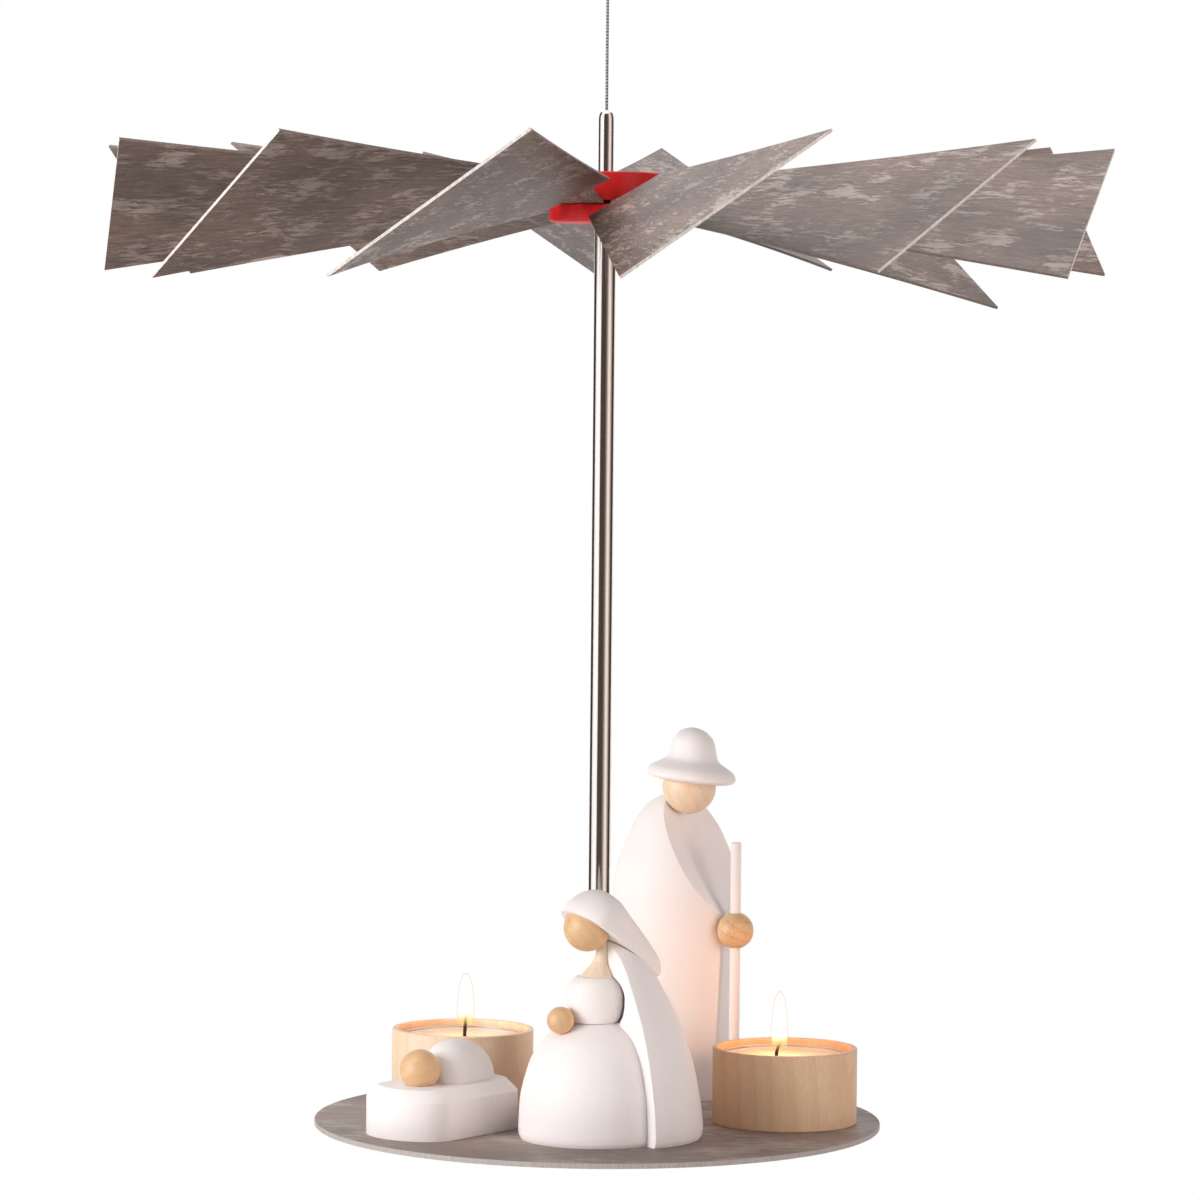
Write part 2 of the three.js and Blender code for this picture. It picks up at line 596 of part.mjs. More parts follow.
// The veil's flat underside in the plane of symmetry: a point on it and its upward normal
function veilPlane() {
  const [fx, fz] = VEIL_FRONT;
  const length = Math.hypot(VEIL_BACK[0] - fx, VEIL_BACK[1] - fz);
  const along = [(VEIL_BACK[0] - fx) / length, (VEIL_BACK[1] - fz) / length];
  const normal = [along[1], -along[0]];
  return { start: [fx - normal[0] * VEIL_CUT, fz - normal[1] * VEIL_CUT], along, normal, length };
}

// Everything above the veil's underside, with its clearance
function underVeil() {
  const { start, normal } = veilPlane();
  return sideOf([start[0] - normal[0] * GAP, 0, start[1] - normal[1] * GAP], [normal[0], 0, normal[1]]);
}

// The veil is turned like an egg, cut flat below its axis and hollowed for the head
function veilGeometry() {
  const { start, along, normal, length } = veilPlane();
  const outline = profile([
    [0.28, 0.012], [0.5, 0.05], [0.8, 0.12], [1, 0.22], [1, 0.33], [0.87, 0.45], [0.72, 0.6],
    [0.535, 0.78], [0.35, 0.91], [0.12, 0.985],
  ], VEIL_R, length);
  const egg = turned([[0, 0], ...outline, [0, length]], 18);
  const turn = new THREE.Quaternion();
  turn.setFromUnitVectors(new THREE.Vector3(0, 0, 1), new THREE.Vector3(along[0], 0, along[1]));
  egg.applyQuaternion(turn).translate(VEIL_FRONT[0], 0, VEIL_FRONT[1]);
  const under = sideOf([start[0], 0, start[1]], [-normal[0], 0, -normal[1]]);
  return cut(egg, under, ball(WOMAN_HEAD_R + GAP, WOMAN_HEAD, 16));
}

const gownOutline = () => profile([
  [0.95, 0], [0.965, 0.02], [0.985, 0.15], [1, 0.4], [0.985, 0.68], [0.94, 0.745], [0.87, 0.795],
  [0.755, 0.855], [0.6, 0.923], [0.4, 0.97], [0.17, 0.995],
], GOWN_R, GOWN_H);

// The man: gown with a carved lapel and a flat side, head, hat, hand and staff
function man(parent) {
  const gown = turned([[0, 0], ...gownOutline(), [0, GOWN_H]]).translate(MAN_AT[0], MAN_AT[1], 0);
  const flatSide = sideOf([...GOWN_SIDE, 0], [0.965, -0.26, -0.045]);
  const lapel = lapelCutter();
  const headRoom = ball(MAN_HEAD_R + GAP, MAN_HEAD);
  const handRoom = ball(MAN_HAND_R + GAP, MAN_HAND);
  const staffRoom = disc(STAFF_R + GAP, -1, STAFF_TOP + 1, 16).translate(MAN_HAND[0], MAN_HAND[1], 0);
  const carved = toGeometry([flatSide, lapel, headRoom, handRoom, staffRoom].reduce(
    (body, tool) => body.subtract(tool.isBufferGeometry ? toSolid(tool) : tool), toSolid(gown)));
  place(parent, 'man_gown', carved, white());
  place(parent, 'man_head', ball(MAN_HEAD_R, MAN_HEAD), maple());
  place(parent, 'man_hat', hatGeometry(), white());

  const [hx, hy] = MAN_HAND;
  place(parent, 'man_hand', cut(ball(MAN_HAND_R, MAN_HAND), staffRoom), maple());
  const staff = turned([
    [0, 0], [STAFF_R, 0], [STAFF_R, STAFF_TOP - STAFF_EDGE], [STAFF_R - STAFF_EDGE, STAFF_TOP], [0, STAFF_TOP],
  ], 16);
  place(parent, 'staff', staff, white(), [hx, hy, 0]);
}

// What the lapel removes: the wedge right of a flat cut, hollowed by a drum towards the hand
function lapelCutter() {
  const face = toSolid(sideOf([20, 53.1, 97.8], [0.702, -0.482, 0.525]));
  const upper = new THREE.Vector3(27.3, 52, 87);
  const lower = new THREE.Vector3(40.9, 43.6, 61.2);
  const outward = new THREE.Vector3(0.282, -0.859, 0.428).normalize();
  const valley = new THREE.Vector3().subVectors(lower, upper);
  const reach = Math.sqrt(LAPEL_DRUM_R ** 2 - (valley.length() / 2) ** 2);
  const middle = new THREE.Vector3().addVectors(upper, lower).multiplyScalar(0.5);
  const axis = new THREE.Vector3().crossVectors(outward, valley).normalize();
  const turn = new THREE.Quaternion().setFromUnitVectors(new THREE.Vector3(0, 1, 0), axis);
  const drum = new THREE.CylinderGeometry(LAPEL_DRUM_R, LAPEL_DRUM_R, 120, 56).applyQuaternion(turn);
  const centre = middle.addScaledVector(outward, reach);
  return face.intersect(toSolid(closed(drum.translate(centre.x, centre.y, centre.z))));
}

function hatGeometry() {
  const outline = profile([
    [0.82, 0], [0.925, 0.023], [0.986, 0.063], [1, 0.11], [0.98, 0.16], [0.925, 0.225], [0.76, 0.31],
    [0.63, 0.375], [0.565, 0.44], [0.517, 0.535], [0.48, 0.65], [0.43, 0.76], [0.355, 0.845],
    [0.245, 0.925], [0.1, 0.99],
  ], HAT_R, HAT_H);
  const hat = turned([[0, 0], ...outline, [0, HAT_H]], 18);
  return cut(hat.rotateY(radians(HAT_TILT)).translate(...HAT_AT), ball(MAN_HEAD_R + GAP, MAN_HEAD));
}

// The crib's oval in plan, drawn in by a distance
function cribPlan(inset) {
  const half = CRIB_HALF_W - inset;
  const end = CRIB_END - inset;
  const plan = new THREE.Shape();
  plan.moveTo(-CRIB_STRAIGHT / 2, -half);
  plan.lineTo(CRIB_STRAIGHT / 2, -half);
  plan.absellipse(CRIB_STRAIGHT / 2, 0, end, half, -Math.PI / 2, Math.PI / 2, false, 0);
  plan.lineTo(-CRIB_STRAIGHT / 2, half);
  plan.absellipse(-CRIB_STRAIGHT / 2, 0, end, half, Math.PI / 2, (3 * Math.PI) / 2, false, 0);
  return plan;
}

function crib(parent) {
  const group = new THREE.Group();
  group.position.set(CRIB_AT[0], CRIB_AT[1], 0);
  group.rotation.z = radians(CRIB_TURN);
  parent.add(group);

  const block = new THREE.ExtrudeGeometry(cribPlan(CRIB_CHAMFER), {
    depth: CRIB_H - CRIB_CHAMFER, curveSegments: 10, bevelEnabled: true, bevelSegments: 1,
    bevelSize: CRIB_CHAMFER, bevelThickness: CRIB_CHAMFER,
  });
  const below = sideOf([0, 0, 0], [0, 0, -1]);
  place(group, 'crib_base', cut(closed(block), below), white());

  const headMid = CRIB_H + GAP + INFANT_HEAD_R - INFANT_HEAD_SINK;
  const flat = sideOf([0, 0, CRIB_H + GAP], [0, 0, -1]);
  const headAt = [INFANT_HEAD_AT, 0, headMid];
  place(group, 'infant_head', cut(ball(INFANT_HEAD_R, headAt), flat), maple());
  const headRoom = ball(INFANT_HEAD_R + GAP, headAt);
  place(group, 'infant_body', cut(infantBody(), flat, headRoom), white());
}

// Half an egg lying along the crib, blunt at the head's end
function infantBody() {
  const { from, length, height, halfWidth } = INFANT_BODY;
  const outline = smooth([
    [0.42, 0.02], [0.78, 0.1], [0.96, 0.24], [1, 0.4], [0.95, 0.6], [0.8, 0.78], [0.5, 0.93], [0.16, 0.99],
  ].map(([r, a]) => [r * height, a * length]), 9);
  const egg = turned([[0, 0], ...outline, [0, length]], 20);
  egg.scale(1, halfWidth / height, 1).rotateY(Math.PI / 2);
  return egg.translate(from, 0, CRIB_H + GAP);
}

const assembly = new THREE.Group();
assembly.position.z = -CEILING;
[ceilingFitting, cable, spindle, bearing, hub, blades, tubeAndPlate, woman, man, crib].forEach(
  (build) => build(assembly));
Object.keys(HOLDER_PLACES).forEach((side) => tealight(assembly, side));

const pyramid = new THREE.Group();
pyramid.add(assembly);

export default pyramid;
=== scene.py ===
"""Looks of a hanging christmas pyramid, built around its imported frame.

Sizes are in millimetres, and heights start at the plate's top face, as in the part's source. Each
finished mesh is brought to metres in the row frame, with its object at the origin.
"""

import json
import logging
import math
from dataclasses import dataclass, field, replace
from enum import Enum
from typing import Sequence

import bmesh
import bpy
from mathutils import Matrix, Vector
from mathutils.geometry import interpolate_bezier


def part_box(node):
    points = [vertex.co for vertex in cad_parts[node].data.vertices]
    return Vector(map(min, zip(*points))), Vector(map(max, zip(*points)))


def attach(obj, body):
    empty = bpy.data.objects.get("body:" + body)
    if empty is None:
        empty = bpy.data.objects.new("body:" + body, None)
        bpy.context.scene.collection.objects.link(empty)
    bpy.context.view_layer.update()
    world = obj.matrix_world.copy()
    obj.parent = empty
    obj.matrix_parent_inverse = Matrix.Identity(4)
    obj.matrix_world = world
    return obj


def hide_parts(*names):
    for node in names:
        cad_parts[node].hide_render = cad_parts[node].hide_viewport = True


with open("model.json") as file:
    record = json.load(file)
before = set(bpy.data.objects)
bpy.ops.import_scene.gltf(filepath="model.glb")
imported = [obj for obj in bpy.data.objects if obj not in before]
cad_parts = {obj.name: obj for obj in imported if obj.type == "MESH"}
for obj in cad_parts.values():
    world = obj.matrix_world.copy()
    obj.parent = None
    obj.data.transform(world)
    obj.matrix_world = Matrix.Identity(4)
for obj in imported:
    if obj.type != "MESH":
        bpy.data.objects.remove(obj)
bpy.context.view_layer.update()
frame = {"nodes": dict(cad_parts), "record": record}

LOG = logging.getLogger("pyramid")

MM = 0.001
PLATE_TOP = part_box("plate")[1][2] / MM
GAP = 0.3  # play between parts that slide or are put together loose
SEAM = 0.05  # half the play between parts that are glued
ROOM = 2 * SEAM  # how much wider a bed is than the part in it
WELD = 1e-4  # points closer than this are one
CARVE_WELD = 1e-3  # the same after carving
RIM_WELD = 0.02  # the same on the rim of a cut
FLAT = math.radians(12)  # edges that bend less than this count as flat
Outline = list[tuple[float, float]]
Triple = tuple[float, float, float]
Shape = bmesh.types.BMesh
Tree = bpy.types.NodeTree


class Body(Enum):
    """The bodies that pieces ride on."""

    FIXTURE = "fixture"
    CAROUSEL = "carousel"
    TEALIGHT_RIGHT = "tealight_right"
    TEALIGHT_LEFT = "tealight_left"


class Slot(Enum):
    """The record's material slots."""

    STEEL = "steel"
    BRONZE = "bronze"
    SLATE = "slate_look"
    RED = "red_wood"
    MAPLE = "maple"
    WHITE = "white_wood"
    CUP = "tealight_cup"
    WAX = "wax"
    WICK = "wick"


class Side(Enum):
    """The two tealights, as the viewer of the photograph sees them."""

    RIGHT = "right"
    LEFT = "left"


# Material tools


def linear(colour: str) -> tuple[float, float, float, float]:
    """Turns an sRGB hex colour into linear red, green, blue and alpha.

    Args:
        colour: a colour such as "#E3BD8B".

    Returns:
        The linear colour with alpha 1.
    """
    parts = [int(colour[i:i + 2], 16) / 255 for i in (1, 3, 5)]
    red, green, blue = (p / 12.92 if p <= 0.04045 else ((p + 0.055) / 1.055) ** 2.4 for p in parts)
    return (red, green, blue, 1.0)


def add_node(tree: Tree, kind: str, inputs: dict | None = None,
             stops: Sequence[tuple[float, str]] = (), **settings: object) -> bpy.types.Node:
    """Adds a node with its settings and links.

    Args:
        tree: the node tree.
        kind: Blender's name of the node.
        inputs: values, sockets or nodes by the input's name or number. A node stands for the first
            of its outputs that is in use.
        stops: positions and hex colours of a colour ramp.
        settings: the node's own properties.

    Returns:
        The new node.
    """
    made = tree.nodes.new(kind)
    for key, value in settings.items():
        setattr(made, key, value)
    for key, value in (inputs or {}).items():
        if isinstance(value, bpy.types.Node):
            value = next(output for output in value.outputs if output.enabled)
        if isinstance(value, bpy.types.NodeSocket):
            tree.links.new(value, made.inputs[key])
        else:
            made.inputs[key].default_value = value
    for number, (position, colour) in enumerate(stops):
        elements = made.color_ramp.elements
        element = elements[number] if number < 2 else elements.new(position)
        element.position, element.color = position, linear(colour)
    return made


def in_mm(tree: Tree, turn: Sequence[float] = (0, 0, 0), shift: Sequence[float] = (0, 0, 0),
          stretch: Sequence[float] = (1, 1, 1), own_map: bool = False) -> bpy.types.Node:
    """Coordinates in millimetres for a pattern.

    Args:
        tree: the node tree.
        turn: turn of the pattern in degrees.
        shift: shift of the pattern in millimetres.
        stretch: how much denser the pattern is along each axis.
        own_map: reads the piece's own map instead of object coordinates.

    Returns:
        The node that gives them.
    """
    coordinates = add_node(tree, "ShaderNodeTexCoord").outputs["UV" if own_map else "Object"]
    return add_node(tree, "ShaderNodeMapping", {
        "Vector": coordinates, "Location": shift, "Rotation": [math.radians(a) for a in turn],
        "Scale": [s / MM for s in stretch]})


# Finishes


@dataclass(frozen=True)
class Finish:
    """What a surface is made of. Every kind below says how it is shaded."""

    name: str

    def surface(self, tree: Tree) -> bpy.types.Node:
        """Adds the finish's nodes.

        Args:
            tree: the material's empty node tree.

        Returns:
            The last node, its shader.
        """
        raise NotImplementedError

    def build(self) -> bpy.types.Material:
        """Builds the material."""
        material = bpy.data.materials.new(self.name)
        material.use_nodes = True
        tree = material.node_tree
        tree.nodes.clear()
        add_node(tree, "ShaderNodeOutputMaterial", {"Surface": self.surface(tree)})
        return material


@dataclass(frozen=True)
class PolishedSteel(Finish):
    """Drawn and polished stainless steel: a mirror with fine lines along the drawing direction."""

    name: str = "polished_stainless_steel"
    colour: str = "#F1EBE7"
    roughness: float = 0.11
    line_width: float = 0.25
    turned: bool = False

    def surface(self, tree: Tree) -> bpy.types.Node:
        """Adds the finish's nodes."""
        lines = (0.02, 0.02, 1.0) if self.turned else (1.0, 1.0, 0.01)
        where = in_mm(tree, stretch=lines)
        streaks = add_node(tree, "ShaderNodeTexNoise", {
            "Vector": where, "Scale": 1 / self.line_width, "Detail": 3.0, "Roughness": 0.6})
        rough = add_node(tree, "ShaderNodeMapRange", {
            "Value": streaks, "From Min": 0.3, "From Max": 0.7,
            "To Min": self.roughness * 0.8, "To Max": self.roughness * 1.3})
        bump = add_node(tree, "ShaderNodeBump", {
            "Height": streaks, "Strength": 0.06, "Distance": 0.05 * MM})
        return add_node(tree, "ShaderNodeBsdfPrincipled", {
            "Base Color": linear(self.colour), "Metallic": 1.0,
            "Roughness": rough, "Normal": bump})


@dataclass(frozen=True)
class SinteredBronze(Finish):
    """Turned bronze of a plain bearing: warm, with fine turning rings."""

    name: str = "turned_bronze"
    colour: str = "#B58A52"

    def surface(self, tree: Tree) -> bpy.types.Node:
        """Adds the finish's nodes."""
        grit = add_node(tree, "ShaderNodeTexNoise", {
            "Vector": in_mm(tree, stretch=(0.1, 0.1, 1)), "Scale": 6.0, "Detail": 2.0})
        bump = add_node(tree, "ShaderNodeBump", {
            "Height": grit, "Strength": 0.2, "Distance": 0.05 * MM})
        return add_node(tree, "ShaderNodeBsdfPrincipled", {
            "Base Color": linear(self.colour), "Metallic": 1.0, "Roughness": 0.35,
            "Normal": bump})


@dataclass(frozen=True)
class SlateLook(Finish):
    """Thin board with a cleft-slate print and relief: brown-grey with lighter crusts, satin."""

    dark: str = "#48352D"
    middle: str = "#846D63"
    crust: str = "#B3A49C"
    patch_mm: float = 18.0
    streak_mm: float = 1.5
    slant: float = 12.0
    relief_mm: float = 0.14
    rough: tuple[float, float] = (0.42, 0.34)
    own_map: bool = True
    across: float = 1.3

    def surface(self, tree: Tree) -> bpy.types.Node:
        """Adds the finish's nodes."""
        where = in_mm(tree, stretch=(1, self.across, 1), own_map=self.own_map)
        drift = add_node(tree, "ShaderNodeTexNoise", {
            "Vector": where, "Scale": 0.11, "Detail": 2.0})
        push = add_node(tree, "ShaderNodeVectorMath", {
            0: drift.outputs["Color"], 1: (5.0, 5.0, 5.0), 2: where}, operation="MULTIPLY_ADD")
        patches = add_node(tree, "ShaderNodeTexNoise", {
            "Vector": push, "Scale": 1 / self.patch_mm, "Detail": 8.0, "Roughness": 0.64})
        streaks = add_node(tree, "ShaderNodeTexNoise", {
            "Vector": add_node(tree, "ShaderNodeMapping", {
                "Vector": push, "Rotation": (0, 0, math.radians(self.slant)),
                "Scale": (0.16, 1.0, 1.0)}),
            "Scale": 1 / self.streak_mm, "Detail": 6.0, "Roughness": 0.72, "Distortion": 0.4})
        ragged = add_node(tree, "ShaderNodeMath", {
            0: streaks, 1: 0.9, 2: patches}, operation="MULTIPLY_ADD")
        crust = add_node(tree, "ShaderNodeMapRange", {
            "Value": ragged, "From Min": 0.955, "From Max": 1.08},
            interpolation_type="SMOOTHSTEP")
        clouds = add_node(tree, "ShaderNodeTexNoise", {
            "Vector": where, "Scale": 0.45 / self.patch_mm, "Detail": 1.0})
        shade = add_node(tree, "ShaderNodeMapRange", {
            "Value": clouds, "From Min": 0.35, "From Max": 0.65, "To Min": 0.72, "To Max": 1.2})
        crusted = add_node(tree, "ShaderNodeMath", {
            0: crust, 1: 0.62}, operation="MULTIPLY")
        tint = add_node(tree, "ShaderNodeValToRGB", {"Fac": streaks}, stops=[
            (0.3, self.dark), (0.68, self.middle)])
        stained = add_node(tree, "ShaderNodeMix", {
            "Factor": crusted, 6: tint, 7: linear(self.crust)},
            data_type="RGBA")
        colour = add_node(tree, "ShaderNodeVectorMath", {
            0: stained, "Scale": shade}, operation="SCALE")
        grit = add_node(tree, "ShaderNodeTexNoise", {"Vector": where, "Scale": 2.5, "Detail": 3.0})
        height = add_node(tree, "ShaderNodeMath", {
            0: streaks, 1: crusted}, operation="ADD")
        coarse = add_node(tree, "ShaderNodeBump", {
            "Height": height, "Strength": 0.8, "Distance": self.relief_mm * MM})
        fine = add_node(tree, "ShaderNodeBump", {
            "Height": grit, "Strength": 0.25, "Distance": 0.04 * MM,
            "Normal": coarse})
        rough = add_node(tree, "ShaderNodeMapRange", {
            "Value": crusted, "To Min": self.rough[0], "To Max": self.rough[1]})
        return add_node(tree, "ShaderNodeBsdfPrincipled", {
            "Base Color": colour, "Roughness": rough,
            "Normal": fine})


@dataclass(frozen=True)
class SawnEdge(Finish):
    """The board's cut edge with fine upright saw marks. Its default colours are the blade tips'
    pale copy, lightened by a painted highlight.
    """

    name: str = "blade_tip_edge_painted_highlight"
    light: str = "#E9E2DD"
    dark: str = "#C9BFB8"

    def surface(self, tree: Tree) -> bpy.types.Node:
        """Adds the finish's nodes."""
        marks = add_node(tree, "ShaderNodeTexNoise", {
            "Vector": in_mm(tree, stretch=(1, 1, 0.1)), "Scale": 2.2, "Detail": 3.0})
        tint = add_node(tree, "ShaderNodeValToRGB", {"Fac": marks}, stops=[
            (0.35, self.dark), (0.65, self.light)])
        return add_node(tree, "ShaderNodeBsdfPrincipled", {
            "Base Color": tint, "Roughness": 0.6})


@dataclass(frozen=True)
class StainedBeech(Finish):
    """Turned beech, stained red under a satin lacquer: even colour with short dark pores."""

    name: str = "stained_beech"
    colour: str = "#E0171B"
    pore: str = "#B0131A"

    def surface(self, tree: Tree) -> bpy.types.Node:
        """Adds the finish's nodes."""
        pores = add_node(tree, "ShaderNodeTexNoise", {
            "Vector": in_mm(tree, stretch=(0.3, 2, 2)), "Scale": 2.0, "Detail": 3.0,
            "Roughness": 0.6})
        tint = add_node(tree, "ShaderNodeValToRGB", {"Fac": pores}, stops=[
            (0.3, self.pore), (0.48, self.colour)])
        bump = add_node(tree, "ShaderNodeBump", {
            "Height": pores, "Strength": 0.15, "Distance": 0.05 * MM})
        return add_node(tree, "ShaderNodeBsdfPrincipled", {
            "Base Color": tint, "Roughness": 0.45, "Normal": bump,
            "Specular IOR Level": 0.35})


@dataclass(frozen=True)
class WaxedMaple(Finish):
    """Turned maple, sanded and waxed: soft growth rings, short fibres and small ray flecks."""

    light: str = "#E6C39B"
    middle: str = "#DBB48A"
    ring: str = "#C99C72"
    ring_mm: float = 6.0
    turn: Triple = (0.0, 0.0, 0.0)
    shift: Triple = (0.0, 0.0, 0.0)
    roughness: float = 0.48

    def surface(self, tree: Tree) -> bpy.types.Node:
        """Adds the finish's nodes."""
        where = in_mm(tree, self.turn, self.shift)
        along = add_node(tree, "ShaderNodeMapping", {"Vector": where, "Scale": (1.0, 1.0, 0.12)})
        drift = add_node(tree, "ShaderNodeTexNoise", {
            "Vector": along, "Scale": 0.09, "Detail": 2.0})
        push = add_node(tree, "ShaderNodeVectorMath", {
            0: drift.outputs["Color"], 1: (6.0, 6.0, 0.0), 2: along},
            operation="MULTIPLY_ADD")
        rings = add_node(tree, "ShaderNodeTexWave", {
            "Vector": push, "Scale": 0.314 / self.ring_mm, "Distortion": 0.6,
            "Detail": 2.0, "Detail Scale": 0.4}, wave_profile="SAW", bands_direction="X")
        late = add_node(tree, "ShaderNodeMapRange", {
            "Value": rings.outputs["Fac"], "From Min": 0.5, "From Max": 1.0, "To Max": 0.3})
        fibres = add_node(tree, "ShaderNodeTexNoise", {
            "Vector": along, "Scale": 2.6, "Detail": 4.0, "Roughness": 0.7})
        tint = add_node(tree, "ShaderNodeValToRGB", {"Fac": fibres}, stops=[
            (0.3, self.middle), (0.62, self.light)])
        grown = add_node(tree, "ShaderNodeMix", {
            "Factor": late, 6: tint, 7: linear(self.ring)},
            data_type="RGBA")
        flecks = add_node(tree, "ShaderNodeTexNoise", {
            "Vector": add_node(tree, "ShaderNodeMapping", {
                "Vector": where, "Scale": (1.0, 2.2, 0.7)}),
            "Scale": 2.2, "Detail": 1.0})
        fleck = add_node(tree, "ShaderNodeMapRange", {
            "Value": flecks, "From Min": 0.6, "From Max": 0.72, "To Max": 0.2})
        colour = add_node(tree, "ShaderNodeMix", {
            "Factor": fleck, 6: grown, 7: linear(self.ring)},
            data_type="RGBA")
        bump = add_node(tree, "ShaderNodeBump", {
            "Height": fibres, "Strength": 0.2, "Distance": 0.05 * MM})
        return add_node(tree, "ShaderNodeBsdfPrincipled", {
            "Base Color": colour, "Roughness": self.roughness, "Normal": bump,
            "Subsurface Weight": 0.08, "Subsurface Radius": (1.0, 0.6, 0.35),
            "Subsurface Scale": MM})


@dataclass(frozen=True)
class GlazedWhite(Finish):
    """Turned wood under a thin matt white glaze: the grain shows as faint raised lines."""

    name: str = "white_glazed_wood"
    colour: str = "#F4EDEB"
    shade: str = "#F1EAE8"
    turn: Triple = (0.0, 0.0, 0.0)

    def surface(self, tree: Tree) -> bpy.types.Node:
        """Adds the finish's nodes."""
        where = in_mm(tree, self.turn, stretch=(1, 1, 0.07))
        grain = add_node(tree, "ShaderNodeTexNoise", {
            "Vector": where, "Scale": 1.6, "Detail": 5.0, "Roughness": 0.7})
        tint = add_node(tree, "ShaderNodeValToRGB", {"Fac": grain}, stops=[
            (0.3, self.shade), (0.55, self.colour)])
        grit = add_node(tree, "ShaderNodeTexNoise", {
            "Vector": in_mm(tree), "Scale": 2.4, "Detail": 2.0})
        lines = add_node(tree, "ShaderNodeBump", {
            "Height": grain, "Strength": 0.12, "Distance": 0.05 * MM})
        bump = add_node(tree, "ShaderNodeBump", {
            "Height": grit, "Strength": 0.08, "Distance": 0.04 * MM,
            "Normal": lines})
        return add_node(tree, "ShaderNodeBsdfPrincipled", {
            "Base Color": tint, "Roughness": 0.62, "Normal": bump,
            "Subsurface Weight": 0.1, "Subsurface Radius": (1.2, 0.7, 0.45),
            "Subsurface Scale": MM})


@dataclass(frozen=True)
class CupSheet(Finish):
    """Thin drawn aluminium of a tealight cup: bright, with faint wrinkles."""

    name: str = "drawn_aluminium_sheet"
    colour: str = "#E2DDD6"

    def surface(self, tree: Tree) -> bpy.types.Node:
        """Adds the finish's nodes."""
        wrinkles = add_node(tree, "ShaderNodeTexNoise", {
            "Vector": in_mm(tree), "Scale": 0.5, "Detail": 2.0})
        bump = add_node(tree, "ShaderNodeBump", {
            "Height": wrinkles, "Strength": 0.2, "Distance": 0.1 * MM})
        return add_node(tree, "ShaderNodeBsdfPrincipled", {
            "Base Color": linear(self.colour), "Metallic": 1.0, "Roughness": 0.28,
            "Normal": bump})


@dataclass(frozen=True)
class CandleWax(Finish):
    """Candle wax, warm and translucent, with a thin melted pool that gives it a gloss."""

    name: str = "candle_wax"
    colour: str = "#FAEADA"

    def surface(self, tree: Tree) -> bpy.types.Node:
        """Adds the finish's nodes."""
        waves = add_node(tree, "ShaderNodeTexNoise", {
            "Vector": in_mm(tree), "Scale": 0.25, "Detail": 1.0})
        bump = add_node(tree, "ShaderNodeBump", {
            "Height": waves, "Strength": 0.25, "Distance": 0.4 * MM})
        return add_node(tree, "ShaderNodeBsdfPrincipled", {
            "Base Color": linear(self.colour), "Roughness": 0.18, "Normal": bump,
            "Subsurface Weight": 0.5, "Subsurface Radius": (5.0, 3.0, 1.6), "Subsurface Scale": MM})


@dataclass(frozen=True)
class BurningWick(Finish):
    """Braided cotton wick: charred black below, glowing orange where it burns."""

    glow_from: float
    glow_to: float

    def surface(self, tree: Tree) -> bpy.types.Node:
        """Adds the finish's nodes."""
        where = in_mm(tree)
        height = add_node(tree, "ShaderNodeSeparateXYZ", {"Vector": where}).outputs["Z"]
        glow = add_node(tree, "ShaderNodeMapRange", {
            "Value": height, "From Min": self.glow_from, "From Max": self.glow_to},
            interpolation_type="SMOOTHSTEP")
        braid = add_node(tree, "ShaderNodeTexNoise", {"Vector": where, "Scale": 3.0, "Detail": 3.0})
        tint = add_node(tree, "ShaderNodeValToRGB", {"Fac": braid}, stops=[
            (0.35, "#1A1210"), (0.7, "#3B2A22")])
        bump = add_node(tree, "ShaderNodeBump", {
            "Height": braid, "Strength": 0.6, "Distance": 0.2 * MM})
        cotton = add_node(tree, "ShaderNodeBsdfPrincipled", {
            "Base Color": tint, "Roughness": 0.9, "Normal": bump})
        ember = add_node(tree, "ShaderNodeEmission", {"Color": linear("#E8901A"), "Strength": 1.0})
        return add_node(tree, "ShaderNodeMixShader", {
            "Fac": glow, 1: cotton, 2: ember})


@dataclass(frozen=True)
class Flame(Finish):
    """A skin of a candle flame: see-through at the foot, yellow above the wick, pale higher up."""

    foot: float
    height: float
    stops: tuple[tuple[float, str], ...]
    solid: Triple
    strength: float

    def surface(self, tree: Tree) -> bpy.types.Node:
        """Adds the finish's nodes."""
        level = add_node(tree, "ShaderNodeSeparateXYZ", {"Vector": in_mm(tree)}).outputs["Z"]
        share = add_node(tree, "ShaderNodeMapRange", {
            "Value": level, "From Min": self.foot, "From Max": self.foot + self.height})
        tint = add_node(tree, "ShaderNodeValToRGB", {"Fac": share}, stops=self.stops)
        start, full, most = self.solid
        cover = add_node(tree, "ShaderNodeMapRange", {
            "Value": share, "From Min": start, "From Max": full, "To Max": most},
            interpolation_type="SMOOTHSTEP")
        glow = add_node(tree, "ShaderNodeEmission", {
            "Color": tint, "Strength": self.strength})
        clear = add_node(tree, "ShaderNodeBsdfTransparent")
        return add_node(tree, "ShaderNodeMixShader", {
            "Fac": cover, 1: clear, 2: glow})


